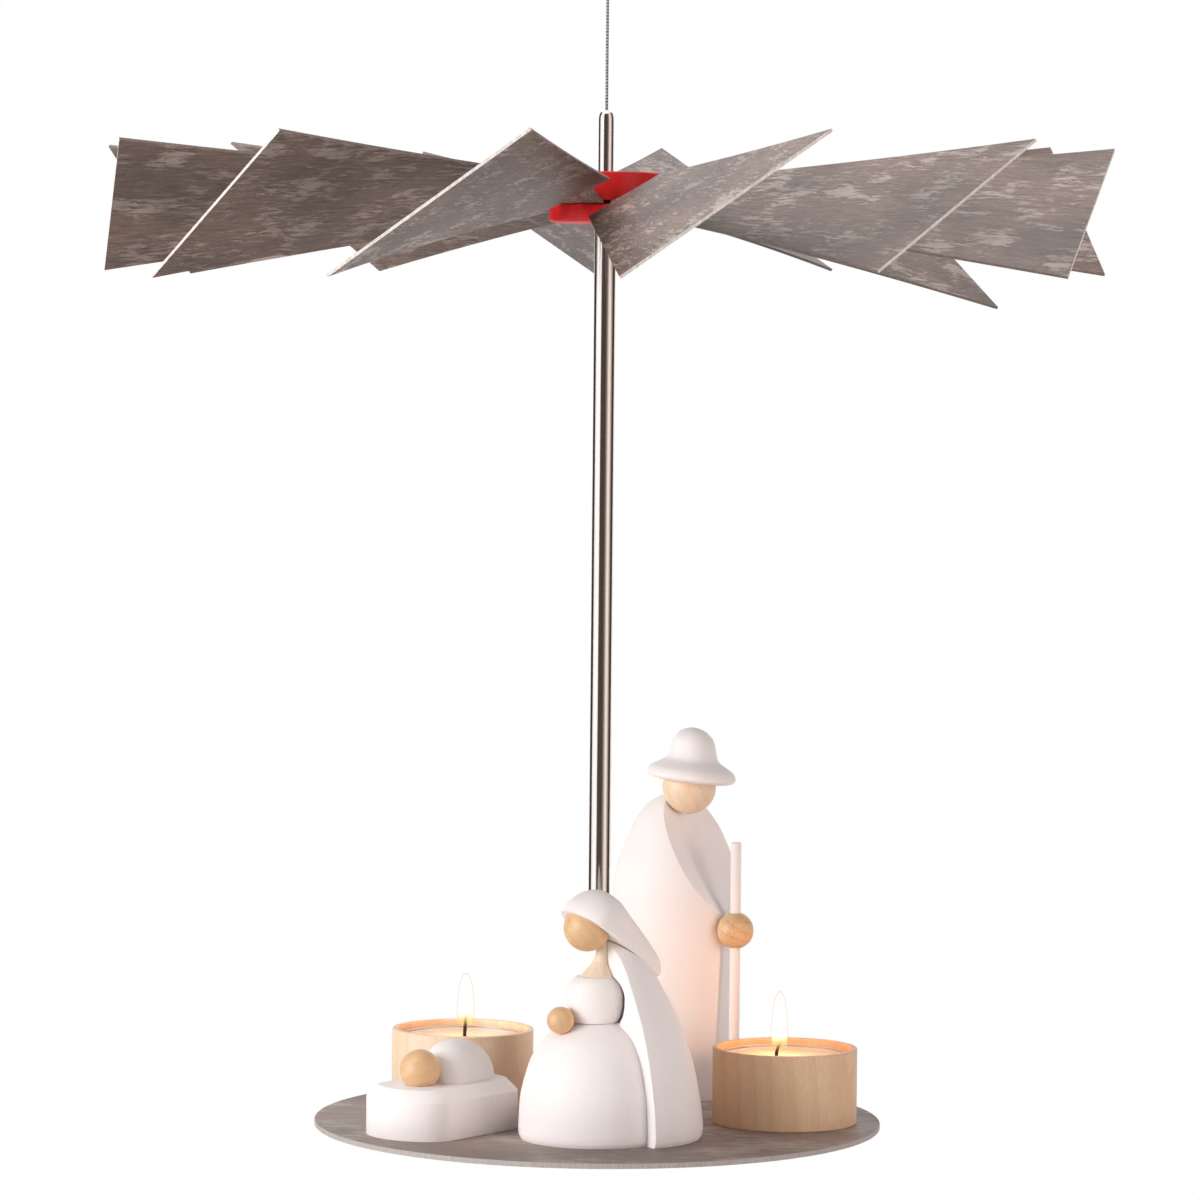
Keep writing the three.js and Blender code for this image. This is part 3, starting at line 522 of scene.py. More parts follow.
@dataclass(frozen=True)
class FadingPaper(Finish):
    """Pale paper that, seen by the camera, turns white away from the middle."""

    name: str = "pale_floor"
    colour: str = "#D9D5D2"
    fade_from: float = 0.35
    fade_to: float = 1.1

    def surface(self, tree: Tree) -> bpy.types.Node:
        """Adds the finish's nodes."""
        spot = add_node(tree, "ShaderNodeVectorMath", {
            0: add_node(tree, "ShaderNodeTexCoord").outputs["Object"]}, operation="LENGTH")
        far = add_node(tree, "ShaderNodeMapRange", {
            "Value": spot, "From Min": self.fade_from, "From Max": self.fade_to},
            interpolation_type="SMOOTHSTEP")
        mask = add_node(tree, "ShaderNodeMath", {
            0: far, 1: add_node(tree, "ShaderNodeLightPath").outputs["Is Camera Ray"]},
            operation="MULTIPLY")
        paper = add_node(tree, "ShaderNodeBsdfDiffuse", {"Color": linear(self.colour)})
        white = add_node(tree, "ShaderNodeEmission", {"Color": (1, 1, 1, 1), "Strength": 1.0})
        return add_node(tree, "ShaderNodeMixShader", {
            "Fac": mask, 1: paper, 2: white})


@dataclass(frozen=True)
class GlowingCard(Finish):
    """An even colour that polished surfaces mirror."""

    colour: str

    def surface(self, tree: Tree) -> bpy.types.Node:
        """Adds the finish's nodes."""
        return add_node(tree, "ShaderNodeEmission", {
            "Color": linear(self.colour), "Strength": 1.0})


BUILT: dict[str, bpy.types.Material] = {}


def material_of(finish: Finish) -> bpy.types.Material:
    """Builds a finish's material the first time it is asked for.

    Args:
        finish: one of the kinds above.

    Returns:
        Its material.
    """
    if finish.name not in BUILT:
        BUILT[finish.name] = finish.build()
    return BUILT[finish.name]


STEEL = PolishedSteel()
TURNED_STEEL = PolishedSteel(name="turned_stainless_steel", roughness=0.2, turned=True)
STRANDED_STEEL = PolishedSteel(name="stranded_steel", colour="#C9C6C8", roughness=0.3)
WHITE = GlazedWhite()
RED = StainedBeech()
GOLDEN_MAPLE = WaxedMaple(name="golden_maple", light="#E2BB90", middle="#D8AC7D", ring="#CB9D70",
                          ring_mm=3.2, roughness=0.4)
# Paler copy of the maple for the man's head: painted highlight where the key light's sheen falls.
KEY_LIT_MAPLE = WaxedMaple(name="key_lit_maple", light="#EBD6BC", middle="#E2C7A8", ring="#D6B491",
                        ring_mm=3.2, roughness=0.36)
# Copy of the maple for the man's hand: a paler light tone as painted key-light sheen and deeper
# orange tones as painted candle light.
KEY_AND_CANDLE_LIT_MAPLE = WaxedMaple(name="key_and_candle_lit_maple", light="#EBCBA2", middle="#D5A067", ring="#C0834A",
                         ring_mm=3.2, roughness=0.36)
# Paler copy of the maple for the woman's neck: painted highlight where the key light's sheen falls.
KEY_LIT_NECK_MAPLE = WaxedMaple(name="key_lit_neck_maple", light="#F4E4D0", middle="#ECD5BA", ring="#DEC0A0",
                         ring_mm=3.2, roughness=0.36)
HOLDER_RIGHT_MAPLE = WaxedMaple(
    name="waxed_maple_right", light="#E7C6A2", middle="#DCB590", ring="#CC9F7B", turn=(2, 3, 24),
    shift=(13.0, 4.0, 31.0))
# Lighter copy for the left holder: painted light that the woman's skirt throws back onto it.
BOUNCE_LIT_HOLDER_LEFT_MAPLE = WaxedMaple(
    name="waxed_maple_left_bounce_lit", light="#F0D8BC", middle="#E8CAA9", ring="#DAB692", turn=(2, 3, 24),
    shift=(71.0, -22.0, 5.0))
BLADE_SLATE = SlateLook(name="slate_look_blade")
PLATE_SLATE = SlateLook(
    name="slate_look_plate", dark="#7F6C64", middle="#8F7D75", crust="#B2A59E", patch_mm=26.0,
    streak_mm=2.2, slant=-30.0, relief_mm=0.04, rough=(0.52, 0.44), own_map=False, across=1.1)
# Copies of the cut edge: EDGE, pale, on the blade tips holds a painted highlight; RIM, dark, on the
# blades' long sides holds painted shade; PLATE_EDGE is the plate edge's own colour.
EDGE = SawnEdge()
RIM = SawnEdge(name="blade_side_edge_painted_shade", light="#8A7C74", dark="#6E6058")
PLATE_EDGE = SawnEdge(name="plate_edge", light="#B6ACA7", dark="#A29893")


# Mesh tools


def profile(shares: Sequence[tuple[float, float]], radius: float, height: float,
            bottom: float = 0.0) -> Outline:
    """Brings a table of (share of the radius, share of the height) to size.

    Args:
        shares: the table.
        radius: the greatest radius.
        height: the whole height.
        bottom: height of the foot.

    Returns:
        Points (radius, height).
    """
    return [(r * radius, bottom + z * height) for r, z in shares]


def spline(knots: Sequence[Vector], after: Vector | None = None, steps: int = 5) -> list[Vector]:
    """Points of a smooth curve through knots.

    Args:
        knots: the knots.
        after: an imagined knot beyond the last one, which steers the curve's end.
        steps: how many pieces each span gets.

    Returns:
        The points, with the first and last knot.
    """
    around = [2 * knots[0] - knots[1], *knots, after or 2 * knots[-1] - knots[-2]]
    fine: list[Vector] = []
    for before, start, end, beyond in zip(around, around[1:], around[2:], around[3:]):
        span = (end - start).length
        lead = (end - before).normalized() * span / 3
        trail = (beyond - start).normalized() * span / 3
        fine += interpolate_bezier(start, start + lead, end - trail, end, steps + 1)[:-1]
    return [*fine, knots[-1]]


def smooth(points: Outline, steps: int = 5, round_top: bool = False) -> Outline:
    """A smooth outline through the given points.

    Args:
        points: points (radius, height) from the foot up.
        steps: how many pieces each span gets.
        round_top: ends level on the axis, as the crown of a hat does.

    Returns:
        The finer outline.
    """
    knots = [Vector((r, z, 0)) for r, z in points]
    after = Vector((-knots[-2].x, knots[-2].y, 0)) if round_top else None
    return [(max(point.x, 0.0), point.y) for point in spline(knots, after, steps)]


def arc(radius: float, height: float, bend: float, start: float, end: float,
        steps: int = 5) -> Outline:
    """Points of a rounded corner, with angles in degrees from straight out.

    Args:
        radius: distance of the arc's middle from the axis.
        height: height of the arc's middle.
        bend: the arc's own radius.
        start: first angle.
        end: last angle.
        steps: number of pieces.

    Returns:
        Points (radius, height).
    """
    angles = [math.radians(start + (end - start) * i / steps) for i in range(steps + 1)]
    return [(max(radius + bend * math.cos(a), 0.0), height + bend * math.sin(a)) for a in angles]


def turned(points: Outline, sides: int = 128) -> Shape:
    """Turns an outline about the Z axis.

    Args:
        points: points (radius, height) that start and end on the axis, or close.
        sides: number of steps around.

    Returns:
        The closed mesh.
    """
    shape = bmesh.new()
    dots = [shape.verts.new((r, 0.0, z)) for r, z in points]
    for a, b in zip(dots, dots[1:]):
        shape.edges.new((a, b))
    bmesh.ops.spin(shape, geom=shape.verts[:] + shape.edges[:], cent=(0, 0, 0), axis=(0, 0, 1),
                   angle=math.tau, steps=sides, use_merge=True)
    bmesh.ops.remove_doubles(shape, verts=shape.verts, dist=WELD)
    bmesh.ops.recalc_face_normals(shape, faces=shape.faces)
    return shape


def ball(radius: float, centre: Sequence[float], sides: int = 96) -> Shape:
    """A ball of the given radius about a point."""
    shape = bmesh.new()
    bmesh.ops.create_uvsphere(shape, u_segments=sides, v_segments=sides // 2, radius=radius,
                              matrix=Matrix.Translation(centre))
    return shape


def rod(radius: float, bottom: float, top: float, x: float = 0.0, y: float = 0.0) -> Shape:
    """A plain upright rod, mostly used as a drill."""
    shape = turned([(0, bottom), (radius, bottom), (radius, top), (0, top)], 64)
    bmesh.ops.translate(shape, verts=shape.verts, vec=(x, y, 0))
    return shape


def is_corner(element: object) -> bool:
    """Whether a bmesh operator's result is a vertex."""
    return isinstance(element, bmesh.types.BMVert)


def thickened(shape: Shape, by: Sequence[float]) -> list[bmesh.types.BMVert]:
    """Turns an open sheet into a closed slab.

    Args:
        shape: the sheet, which changes.
        by: how far its second side lies from the first.

    Returns:
        The corners of the second side.
    """
    grown = bmesh.ops.extrude_face_region(shape, geom=shape.faces[:])
    moved = [element for element in grown["geom"] if is_corner(element)]
    bmesh.ops.translate(shape, verts=moved, vec=by)
    bmesh.ops.recalc_face_normals(shape, faces=shape.faces)
    return moved


def soften(shape: Shape, edges: Sequence[bmesh.types.BMEdge], width: float,
           segments: int = 1) -> None:
    """Bevels edges.

    Args:
        shape: the mesh, which changes.
        edges: the edges.
        width: how far the bevel reaches on both sides.
        segments: 1 for a chamfer, more for a rounding.
    """
    bmesh.ops.bevel(shape, geom=edges, offset=width, offset_type="OFFSET", segments=segments,
                    profile=0.5, affect="EDGES", clamp_overlap=True, material=-1)


def twist_up(shape: Shape, start: Matrix, radius: float, height: float, turn: float,
             steps: int, sides: int) -> None:
    """Adds a strand that rises in a screw line about the Z axis, with open ends.

    Args:
        shape: the mesh that gets the strand.
        start: where its lower end lies.
        radius: the strand's radius.
        height: how far it rises.
        turn: how far it turns, in radians.
        steps: number of steps along it.
        sides: number of sides around it.
    """
    dots = bmesh.ops.create_circle(shape, cap_ends=True, segments=sides, radius=radius,
                                   matrix=start)["verts"]
    geom = dots + list(dict.fromkeys(edge for dot in dots for edge in dot.link_edges))
    bmesh.ops.spin(shape, geom=geom, cent=(0, 0, 0), axis=(0, 0, 1), dvec=(0, 0, height / steps),
                   angle=turn, steps=steps)


def close_ends(shape: Shape) -> None:
    """Fills the open ends of strands."""
    bmesh.ops.holes_fill(shape, edges=[edge for edge in shape.edges if edge.is_boundary])
    bmesh.ops.recalc_face_normals(shape, faces=shape.faces)


def facing_out(shape: Shape) -> None:
    """Turns all faces outwards, also where a sliver misleads the mesh tool."""
    bmesh.ops.recalc_face_normals(shape, faces=shape.faces)
    if shape.calc_volume(signed=True) < 0:
        bmesh.ops.reverse_faces(shape, faces=shape.faces)


def slice_off(shape: Shape, point: Sequence[float], normal: Sequence[float],
              softened: float = 0.0) -> Shape:
    """Cuts a shape flat, closes the cut and rounds its rim.

    Args:
        shape: the mesh, which changes.
        point: a point on the cut.
        normal: direction of what is removed.
        softened: radius of the rim's rounding.

    Returns:
        The same mesh.
    """
    geom = shape.verts[:] + shape.edges[:] + shape.faces[:]
    found = bmesh.ops.bisect_plane(shape, geom=geom, dist=WELD, plane_co=point, plane_no=normal,
                                   clear_outer=True)
    rim = [e for e in found["geom_cut"] if isinstance(e, bmesh.types.BMEdge)]
    dots = list(dict.fromkeys(dot for edge in rim for dot in edge.verts))
    bmesh.ops.remove_doubles(shape, verts=dots, dist=RIM_WELD)
    rim = [e for e in shape.edges if e.is_boundary]
    bmesh.ops.edgeloop_fill(shape, edges=rim)
    facing_out(shape)
    if softened:
        rim = [e for e in rim if e.is_valid and e.calc_face_angle(0) > FLAT]
        soften(shape, rim, softened, segments=3)
    return shape


def to_object(shape: Shape, name: str) -> bpy.types.Object:
    """Puts a bmesh in a new object of the scene and frees it."""
    mesh = bpy.data.meshes.new(name)
    shape.to_mesh(mesh)
    shape.free()
    made = bpy.data.objects.new(name, mesh)
    bpy.context.scene.collection.objects.link(made)
    return made


def carved(shape: Shape, *tools: Shape) -> Shape:
    """Cuts tools out of a shape.

    Args:
        shape: the blank, which is used up.
        tools: what is cut out of it, used up too.

    Returns:
        The carved mesh.
    """
    blank = to_object(shape, "blank")
    helpers = [to_object(tool, f"tool_{i}") for i, tool in enumerate(tools)]
    for helper in helpers:
        cut = blank.modifiers.new("cut", "BOOLEAN")
        cut.object, cut.operation, cut.solver = helper, "DIFFERENCE", "EXACT"
    graph = bpy.context.evaluated_depsgraph_get()
    result = blank.evaluated_get(graph).to_mesh()
    made = bmesh.new()
    made.from_mesh(result)
    for used in (blank, *helpers):
        mesh = used.data
        bpy.data.objects.remove(used)
        bpy.data.meshes.remove(mesh)
    bmesh.ops.remove_doubles(made, verts=made.verts, dist=CARVE_WELD)
    return made


def piece(shape: Shape, name: str, finish: Finish, slot: Slot, body: Body,
          *nodes: str, place: Matrix | None = None, others: Sequence[Finish] = (),
          crease: float = 28.0) -> bpy.types.Object:
    """Finishes a shape as a piece of the object.

    Args:
        shape: the mesh in millimetres above the plate.
        name: the piece's name.
        finish: its finish.
        slot: the record's slot for the piece; not used.
        body: what it rides on.
        nodes: CAD nodes that it stands for.
        place: where the shape stands, in millimetres.
        others: finishes of the faces with material number 1 and on.
        crease: edges sharper than this many degrees stay sharp.

    Returns:
        The new object.
    """
    to_row = Matrix.Scale(MM, 4) @ Matrix.Translation((0, 0, PLATE_TOP)) @ (place or Matrix())
    bmesh.ops.transform(shape, matrix=to_row, verts=shape.verts)
    for face in shape.faces:
        face.smooth = True
    for edge in shape.edges:
        edge.smooth = len(edge.link_faces) == 2 and edge.calc_face_angle(0) < math.radians(crease)
    made = to_object(shape, name)
    for used in (finish, *others):
        made.data.materials.append(material_of(used))
    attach(made, body.value)
    if nodes:
        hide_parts(*nodes)
    LOG.info("%s: %d faces", name, len(made.data.polygons))
    return made


def wooden_part(shape: Shape, name: str, wood: WaxedMaple, turn: Triple,
                place: Matrix | None = None) -> None:
    """Finishes a bare wooden part of a figure, with its grain turned in its own way.

    Args:
        shape: the mesh in millimetres.
        name: the CAD node that it stands for.
        wood: its wood.
        turn: turn of the grain in degrees.
        place: where it stands, in millimetres.
    """
    piece(shape, f"{name}_turned", replace(wood, name=f"{wood.name}_{name}", turn=turn), Slot.MAPLE,
          Body.CAROUSEL, name, place=place)


# The hanging part


@dataclass
class Suspension:
    """Ceiling cap, cable and spindle."""

    cable_r: float = 0.5
    cable_bottom: float = 320.3
    cable_top: float = 369.7
    strand_r: float = 0.19
    strands: int = 7
    strand_steps: int = 220
    lay_mm: float = 7.0
    path_steps: int = 12
    cap_r: float = 12.0
    cap_h: float = 15.0
    cap_wall: float = 1.6
    cap_round: float = 3.0
    cap_floor: float = 2.6
    cap_edge: float = 0.3
    below_ceiling: float = 0.5
    spindle_r: float = 2.5
    spindle_top: float = 320.0
    spindle_shoulder: float = 298.8
    journal_r: float = 1.15
    journal_bottom: float = 286.8
    nose_r: float = 1.1
    nose_h: float = 2.6

    def cable(self) -> None:
        length = self.cable_top - self.cable_bottom
        shape = bmesh.new()
        for i in range(self.strands):
            start = Matrix.Rotation(math.tau * i / self.strands, 4, "Z") @ Matrix.Translation(
                (self.cable_r - self.strand_r, 0, self.cable_bottom))
            twist_up(shape, start, self.strand_r, length, math.tau * length / self.lay_mm,
                     steps=self.strand_steps, sides=8)
        close_ends(shape)
        made = piece(shape, "steel_cable", STRANDED_STEEL, Slot.STEEL, Body.FIXTURE, "cable")

    def cap(self) -> None:
        """Turns the cap that covers the puck on the ceiling."""
        edge, soft = self.cap_edge, self.cap_round
        bottom = -PLATE_TOP - self.below_ceiling - self.cap_h
        rim = bottom + self.cap_h
        inner = self.cap_r - self.cap_wall
        corner = arc(self.cap_r - soft, bottom + soft, soft, -90, 0, 8)
        hole = self.cable_r + GAP
        shape = turned([
            (hole, bottom + edge), (hole + edge, bottom), *corner, (self.cap_r, rim - edge),
            (self.cap_r - edge, rim), (inner, rim), (inner, bottom + self.cap_floor),
            (hole, bottom + self.cap_floor), (hole, bottom + edge)], 96)
        piece(shape, "ceiling_cap_shell", TURNED_STEEL, Slot.STEEL, Body.FIXTURE, "ceiling_cap")

    def spindle(self) -> None:
        """Turns the spindle with its rounded nose."""
        nose = [(r, self.spindle_top - self.nose_h + z / self.nose_r * self.nose_h)
                for r, z in arc(self.spindle_r - self.nose_r, 0, self.nose_r, 0, 90, 10)]
        shape = turned([
            (0, self.journal_bottom), (self.journal_r, self.journal_bottom),
            (self.journal_r, self.spindle_shoulder), (self.spindle_r, self.spindle_shoulder),
            *nose, (0, self.spindle_top)], 96)
        piece(shape, "spindle_rod", STEEL, Slot.STEEL, Body.FIXTURE, "spindle", crease=40)

    def build(self) -> None:
        """Builds the hanging part."""
        self.cap()
        self.cable()
        self.spindle()


# Rotor


@dataclass(frozen=True)
class Seat:
    """How a blade sits off its even place."""

    turn: float  # round the hub, in degrees
    pitch: float  # in degrees
    drop: float  # of its outer end, in millimetres
    root: float = 0.0  # extra pitch at the root, in degrees


@dataclass
class Rotor:
    """The red hub and its twelve clamped blades."""

    hub_r: float = 17.8
    hub_bottom: float = 284.8
    lower_t: float = 5.5
    upper_t: float = 8.9
    slit: float = 1.3
    slit_round: float = 0.3
    lower_round: float = 1.2
    upper_round: float = 0.6
    boss_r: float = 9.6
    bore: float = 3.8
    collar_pocket_r: float = 5.9
    collar_pocket_top: float = 287.8
    nut_pocket_r: float = 6.8
    nut_seat: float = 295.9
    blade_t: float = 0.9
    root_r: float = 29.5
    tip_r: float = 156.0
    root_chord: float = 26.4
    tip_chord: float = 75.3
    tab_width: float = 8.0
    tab_offset: float = 1.9
    tab_taper: float = 1.2
    tab_free: float = 0.3
    root_corner: float = 3.2
    root_pitch: float = 27.4
    tip_pitch: float = 33.7
    root_rise: float = 1.8
    tip_drop: float = 4.3
    tip_sweep: float = 3.2
    first_turn: float = 10.9
    edge_break: float = 0.1
    board_step: tuple[float, float] = (173.0, 97.0)  # from one blade's cut to the next, in cm
    board_size: tuple[float, float] = (61.0, 43.0)  # where the cuts start over, in cm
    board_back: float = 400.0  # where the underside's print starts, in mm
    seats: tuple[Seat, ...] = (
        Seat(0.7, 1.2, 2.2, 2.4), Seat(-0.7, -1.4, 0.8), Seat(0.9, -0.5, 0.4), Seat(0.6, 0.8, -2.8),
        Seat(2.5, 5.2, 4.6), Seat(-0.2, 0.2, -5.9), Seat(0, 0, -3.5), Seat(-1.4, -0.3, -4.2),
        Seat(-0.2, -2.5, -0.5), Seat(-1.3, -3, 0.4), Seat(0.2, 0.3, 2.3), Seat(-1.1, 0, 2.6, -3))
    twisted_rows: int = 30
    sheet_rows: int = 40
    columns: int = 14
    stations: list[float] = field(default_factory=list)

    def __post_init__(self) -> None:
        """Sets the radii at which a sheet gets a row of points."""
        span = self.root_r - self.hub_r - self.tab_free
        twisted = [self.hub_r + self.tab_free + span * i / self.twisted_rows
                   for i in range(self.twisted_rows)]
        sheet = [self.root_r + (self.tip_r - self.root_r) * i / self.sheet_rows
                 for i in range(self.sheet_rows + 1)]
        before_root = self.root_r - 0.03
        self.stations = [self.boss_r + 1, *twisted, before_root, *sheet]

    def hub(self) -> None:
        """Turns the two halves of the hub."""
        low, slit_low = self.hub_bottom, self.hub_bottom + self.lower_t
        slit_top = slit_low + self.slit
        top = slit_top + self.upper_t
        fine, low_soft, top_soft = self.slit_round, self.lower_round, self.upper_round
        lower = turned([
            (self.collar_pocket_r, low),
            *arc(self.hub_r - low_soft, low + low_soft, low_soft, -90, 0, 6),
            *arc(self.hub_r - fine, slit_low - fine, fine, 0, 90, 3),
            (self.boss_r, slit_low), (self.boss_r, slit_top), (self.bore, slit_top),
            (self.bore, self.collar_pocket_top), (self.collar_pocket_r, self.collar_pocket_top),
            (self.collar_pocket_r, low)])
        piece(lower, "hub_lower_half", RED, Slot.RED, Body.CAROUSEL, "hub_lower")
        upper = turned([
            (self.bore, slit_top), *arc(self.hub_r - fine, slit_top + fine, fine, -90, 0, 3),
            *arc(self.hub_r - top_soft, top - top_soft, top_soft, 0, 90, 4),
            (self.nut_pocket_r, top), (self.nut_pocket_r, self.nut_seat),
            (self.bore, self.nut_seat), (self.bore, slit_top)])
        piece(upper, "hub_upper_half", RED, Slot.RED, Body.CAROUSEL, "hub_upper")

    def edges_at(self, r: float) -> tuple[float, float]:
        """Both side edges of a blade at a radius.

        Args:
            r: distance from the axis.

        Returns:
            The low and high edge across the blade.
        """
        tab = self.tab_width / 2
        if r <= self.hub_r:
            taper = (r / self.hub_r) ** self.tab_taper
            return (self.tab_offset - tab) * taper, (self.tab_offset + tab) * taper
        if r < self.root_r:
            across = max((r - self.root_r + self.root_corner) / self.root_corner, 0)
            flare = self.root_corner * (1 - math.sqrt(1 - across ** 2))
            return self.tab_offset - tab - flare, self.tab_offset + tab + flare
        along = (r - self.root_r) / (self.tip_r - self.root_r)
        half = (self.root_chord + (self.tip_chord - self.root_chord) * along) / 2
        return -half, half

    def bent(self, flat: Vector, seat: Seat) -> Vector:
        """Where a point of the flat sheet goes when the blade is twisted.

        Args:
            flat: radius, place across and height in the sheet's thickness.
            seat: how the blade sits.

        Returns:
            The place along the blade's own direction, in millimetres above the plate.
        """
        t = min(max((flat.x - self.hub_r) / (self.root_r - self.hub_r), 0), 1)
        twist = t * t * (3 - 2 * t)
        along = max((flat.x - self.root_r) / (self.tip_r - self.root_r), 0)
        extra = seat.pitch + seat.root * (1 - along)
        even = self.root_pitch + (self.tip_pitch - self.root_pitch) * along
        pitch = math.radians(twist * (even + extra))
        middle = self.hub_bottom + self.lower_t + self.slit / 2
        drop = seat.drop * twist * flat.x / self.tip_r
        rise = middle + self.root_rise * twist - self.tip_drop * along - drop
        y = flat.y * math.cos(pitch) - flat.z * math.sin(pitch) + self.tip_sweep * along
        return Vector((flat.x, y, rise + flat.y * math.sin(pitch) + flat.z * math.cos(pitch)))

    def blade(self, number: int, seat: Seat) -> None:
        """Cuts one blade from the board, softens its edges and twists it.

        Args:
            number: the blade's number, from 0.
            seat: how it sits.
        """
        rows = len(self.stations) - 1
        shape = bmesh.new()
        bmesh.ops.create_grid(shape, x_segments=rows, y_segments=self.columns, size=0.5)
        for dot in shape.verts:
            r = self.stations[round((dot.co.x + 0.5) * rows)]
            low, high = self.edges_at(r)
            dot.co = (r, low + (high - low) * (dot.co.y + 0.5), -self.blade_t / 2)
        thickened(shape, (0, 0, self.blade_t))
        corners = [e for e in shape.edges if e.calc_face_angle(0) > math.radians(60)]
        soften(shape, corners, self.edge_break)
        cut_from = Vector([
            step * number % size * 10 for step, size in zip(self.board_step, self.board_size)])
        own_map = shape.loops.layers.uv.new("board")
        for face in shape.faces:
            face.normal_update()
            printed, at_tip = abs(face.normal.z) > 0.5, face.normal.x > 0.9
            # Printed faces get the slate print; tip faces the pale cut edge with painted highlight,
            # long side faces the dark one with painted shade.
            face.material_index = 0 if printed else 1 if at_tip else 2
            underside = self.board_back if face.normal.z < 0 else 0.0
            for loop in face.loops:
                spot = Vector((loop.vert.co.x + underside, loop.vert.co.y)) + cut_from
                loop[own_map].uv = spot * MM
        for dot in shape.verts:
            dot.co = self.bent(dot.co, seat)
        turn = self.first_turn + 360 / len(self.seats) * number + seat.turn - 90
        name = f"blade_{number + 1:02d}"
        piece(shape, f"{name}_sheet", BLADE_SLATE, Slot.SLATE, Body.CAROUSEL, name,
              place=Matrix.Rotation(math.radians(turn), 4, "Z"), others=(EDGE, RIM))

    def build(self) -> None:
        """Builds the hub and the blades."""
        self.hub()
        for number, seat in enumerate(self.seats):
            self.blade(number, seat)


# Tube and plate


@dataclass
class Stand:
    """The tube, the plate under it and what fastens them."""

    tube_r: float = 3.5
    bore_r: float = 3.05
    tube_top: float = 298.5
    plate_r: float = 90.0
    plate_t: float = 1.6
    edge: float = 0.15
    screw_hole_r: float = 2.1
    flange_r: float = 7.0
    flange_h: float = 4.0
    flange_round: float = 0.6
    screw_r: float = 1.8
    screw_top: float = 9.0
    screw_head_r: float = 4.5
    screw_head_h: float = 2.0
    screw_round: float = 0.8
    drive_width: float = 1.0
    drive_depth: float = 1.0

    def tube(self) -> None:
        """Cuts the tube."""
        top, edge = self.tube_top, self.edge
        shape = turned([
            (self.bore_r, 0), (self.tube_r, 0), (self.tube_r, top - edge),
            (self.tube_r - edge, top), (self.bore_r, top), (self.bore_r, 0)])
        piece(shape, "steel_tube", STEEL, Slot.STEEL, Body.CAROUSEL, "tube")

    def plate(self) -> None:
        """Cuts the round plate, with the board's core showing at its rim."""
        low, edge = -self.plate_t, self.edge
        shape = turned([
            (self.screw_hole_r, low), (self.plate_r - edge, low), (self.plate_r, low + edge),
            (self.plate_r, -edge), (self.plate_r - edge, 0), (self.screw_hole_r, 0),
            (self.screw_hole_r, low)], 256)
        for face in shape.faces:
            face.material_index = 1 if abs(face.normal.z) < 0.9 else 0
        piece(shape, "slate_look_plate", PLATE_SLATE, Slot.SLATE, Body.CAROUSEL, "plate",
              others=(PLATE_EDGE,))

    def foot(self) -> None:
        """Turns the ring round the foot of the tube."""
        inner, soft = self.tube_r + GAP, self.flange_round
        shape = turned([
            (inner, 0), (self.flange_r, 0),
            *arc(self.flange_r - soft, self.flange_h - soft, soft, 0, 90, 4),
            (inner, self.flange_h), (inner, 0)], 96)
        piece(shape, "foot_ring", TURNED_STEEL, Slot.STEEL, Body.CAROUSEL, "foot_flange")

    def screw(self) -> None:
        """Turns the screw under the plate and cuts its slot."""
        seat, soft = -self.plate_t, self.screw_round
        low = seat - self.screw_head_h
        shape = turned([
            (0, low), *arc(self.screw_head_r - soft, low + soft, soft, -90, 0, 5),
            (self.screw_head_r, seat), (self.screw_r, seat), (self.screw_r, self.screw_top),
            (0, self.screw_top)], 64)
        cutter = bmesh.new()
        size = Matrix.Diagonal((3 * self.screw_head_r, self.drive_width, 2 * self.drive_depth, 1))
        bmesh.ops.create_cube(cutter, size=1, matrix=Matrix.Translation((0, 0, low)) @ size)
        piece(carved(shape, cutter), "slotted_screw", TURNED_STEEL, Slot.STEEL, Body.CAROUSEL,
              "plate_screw")

    def build(self) -> None:
        """Builds the tube, the plate and the foot."""
        self.tube()
        self.plate()
        self.foot()
        self.screw()


# Tealights


@dataclass(frozen=True)
class FlameLayer:
    """One of a flame's nested skins."""

    name: str
    share: float  # of the flame's radius
    strength: float
    stops: tuple[tuple[float, str], ...]  # colours from the foot up
    solid: Triple  # shares of the height where its cover starts and is full, and the most of it


FLAME_LAYERS = (
    FlameLayer("skin", 1.0, 1.0, (
        (0.0, "#F3D98A"), (0.25, "#FBDDA8"), (1.0, "#F9CDA0")), (0.0, 0.25, 0.32)),
    FlameLayer("inside", 0.86, 1.6, (
        (0.0, "#D9BE62"), (0.16, "#E0CF74"), (0.3, "#FFFFFF"), (1.0, "#FFFFFF")),
        (0.02, 0.34, 1.0)))


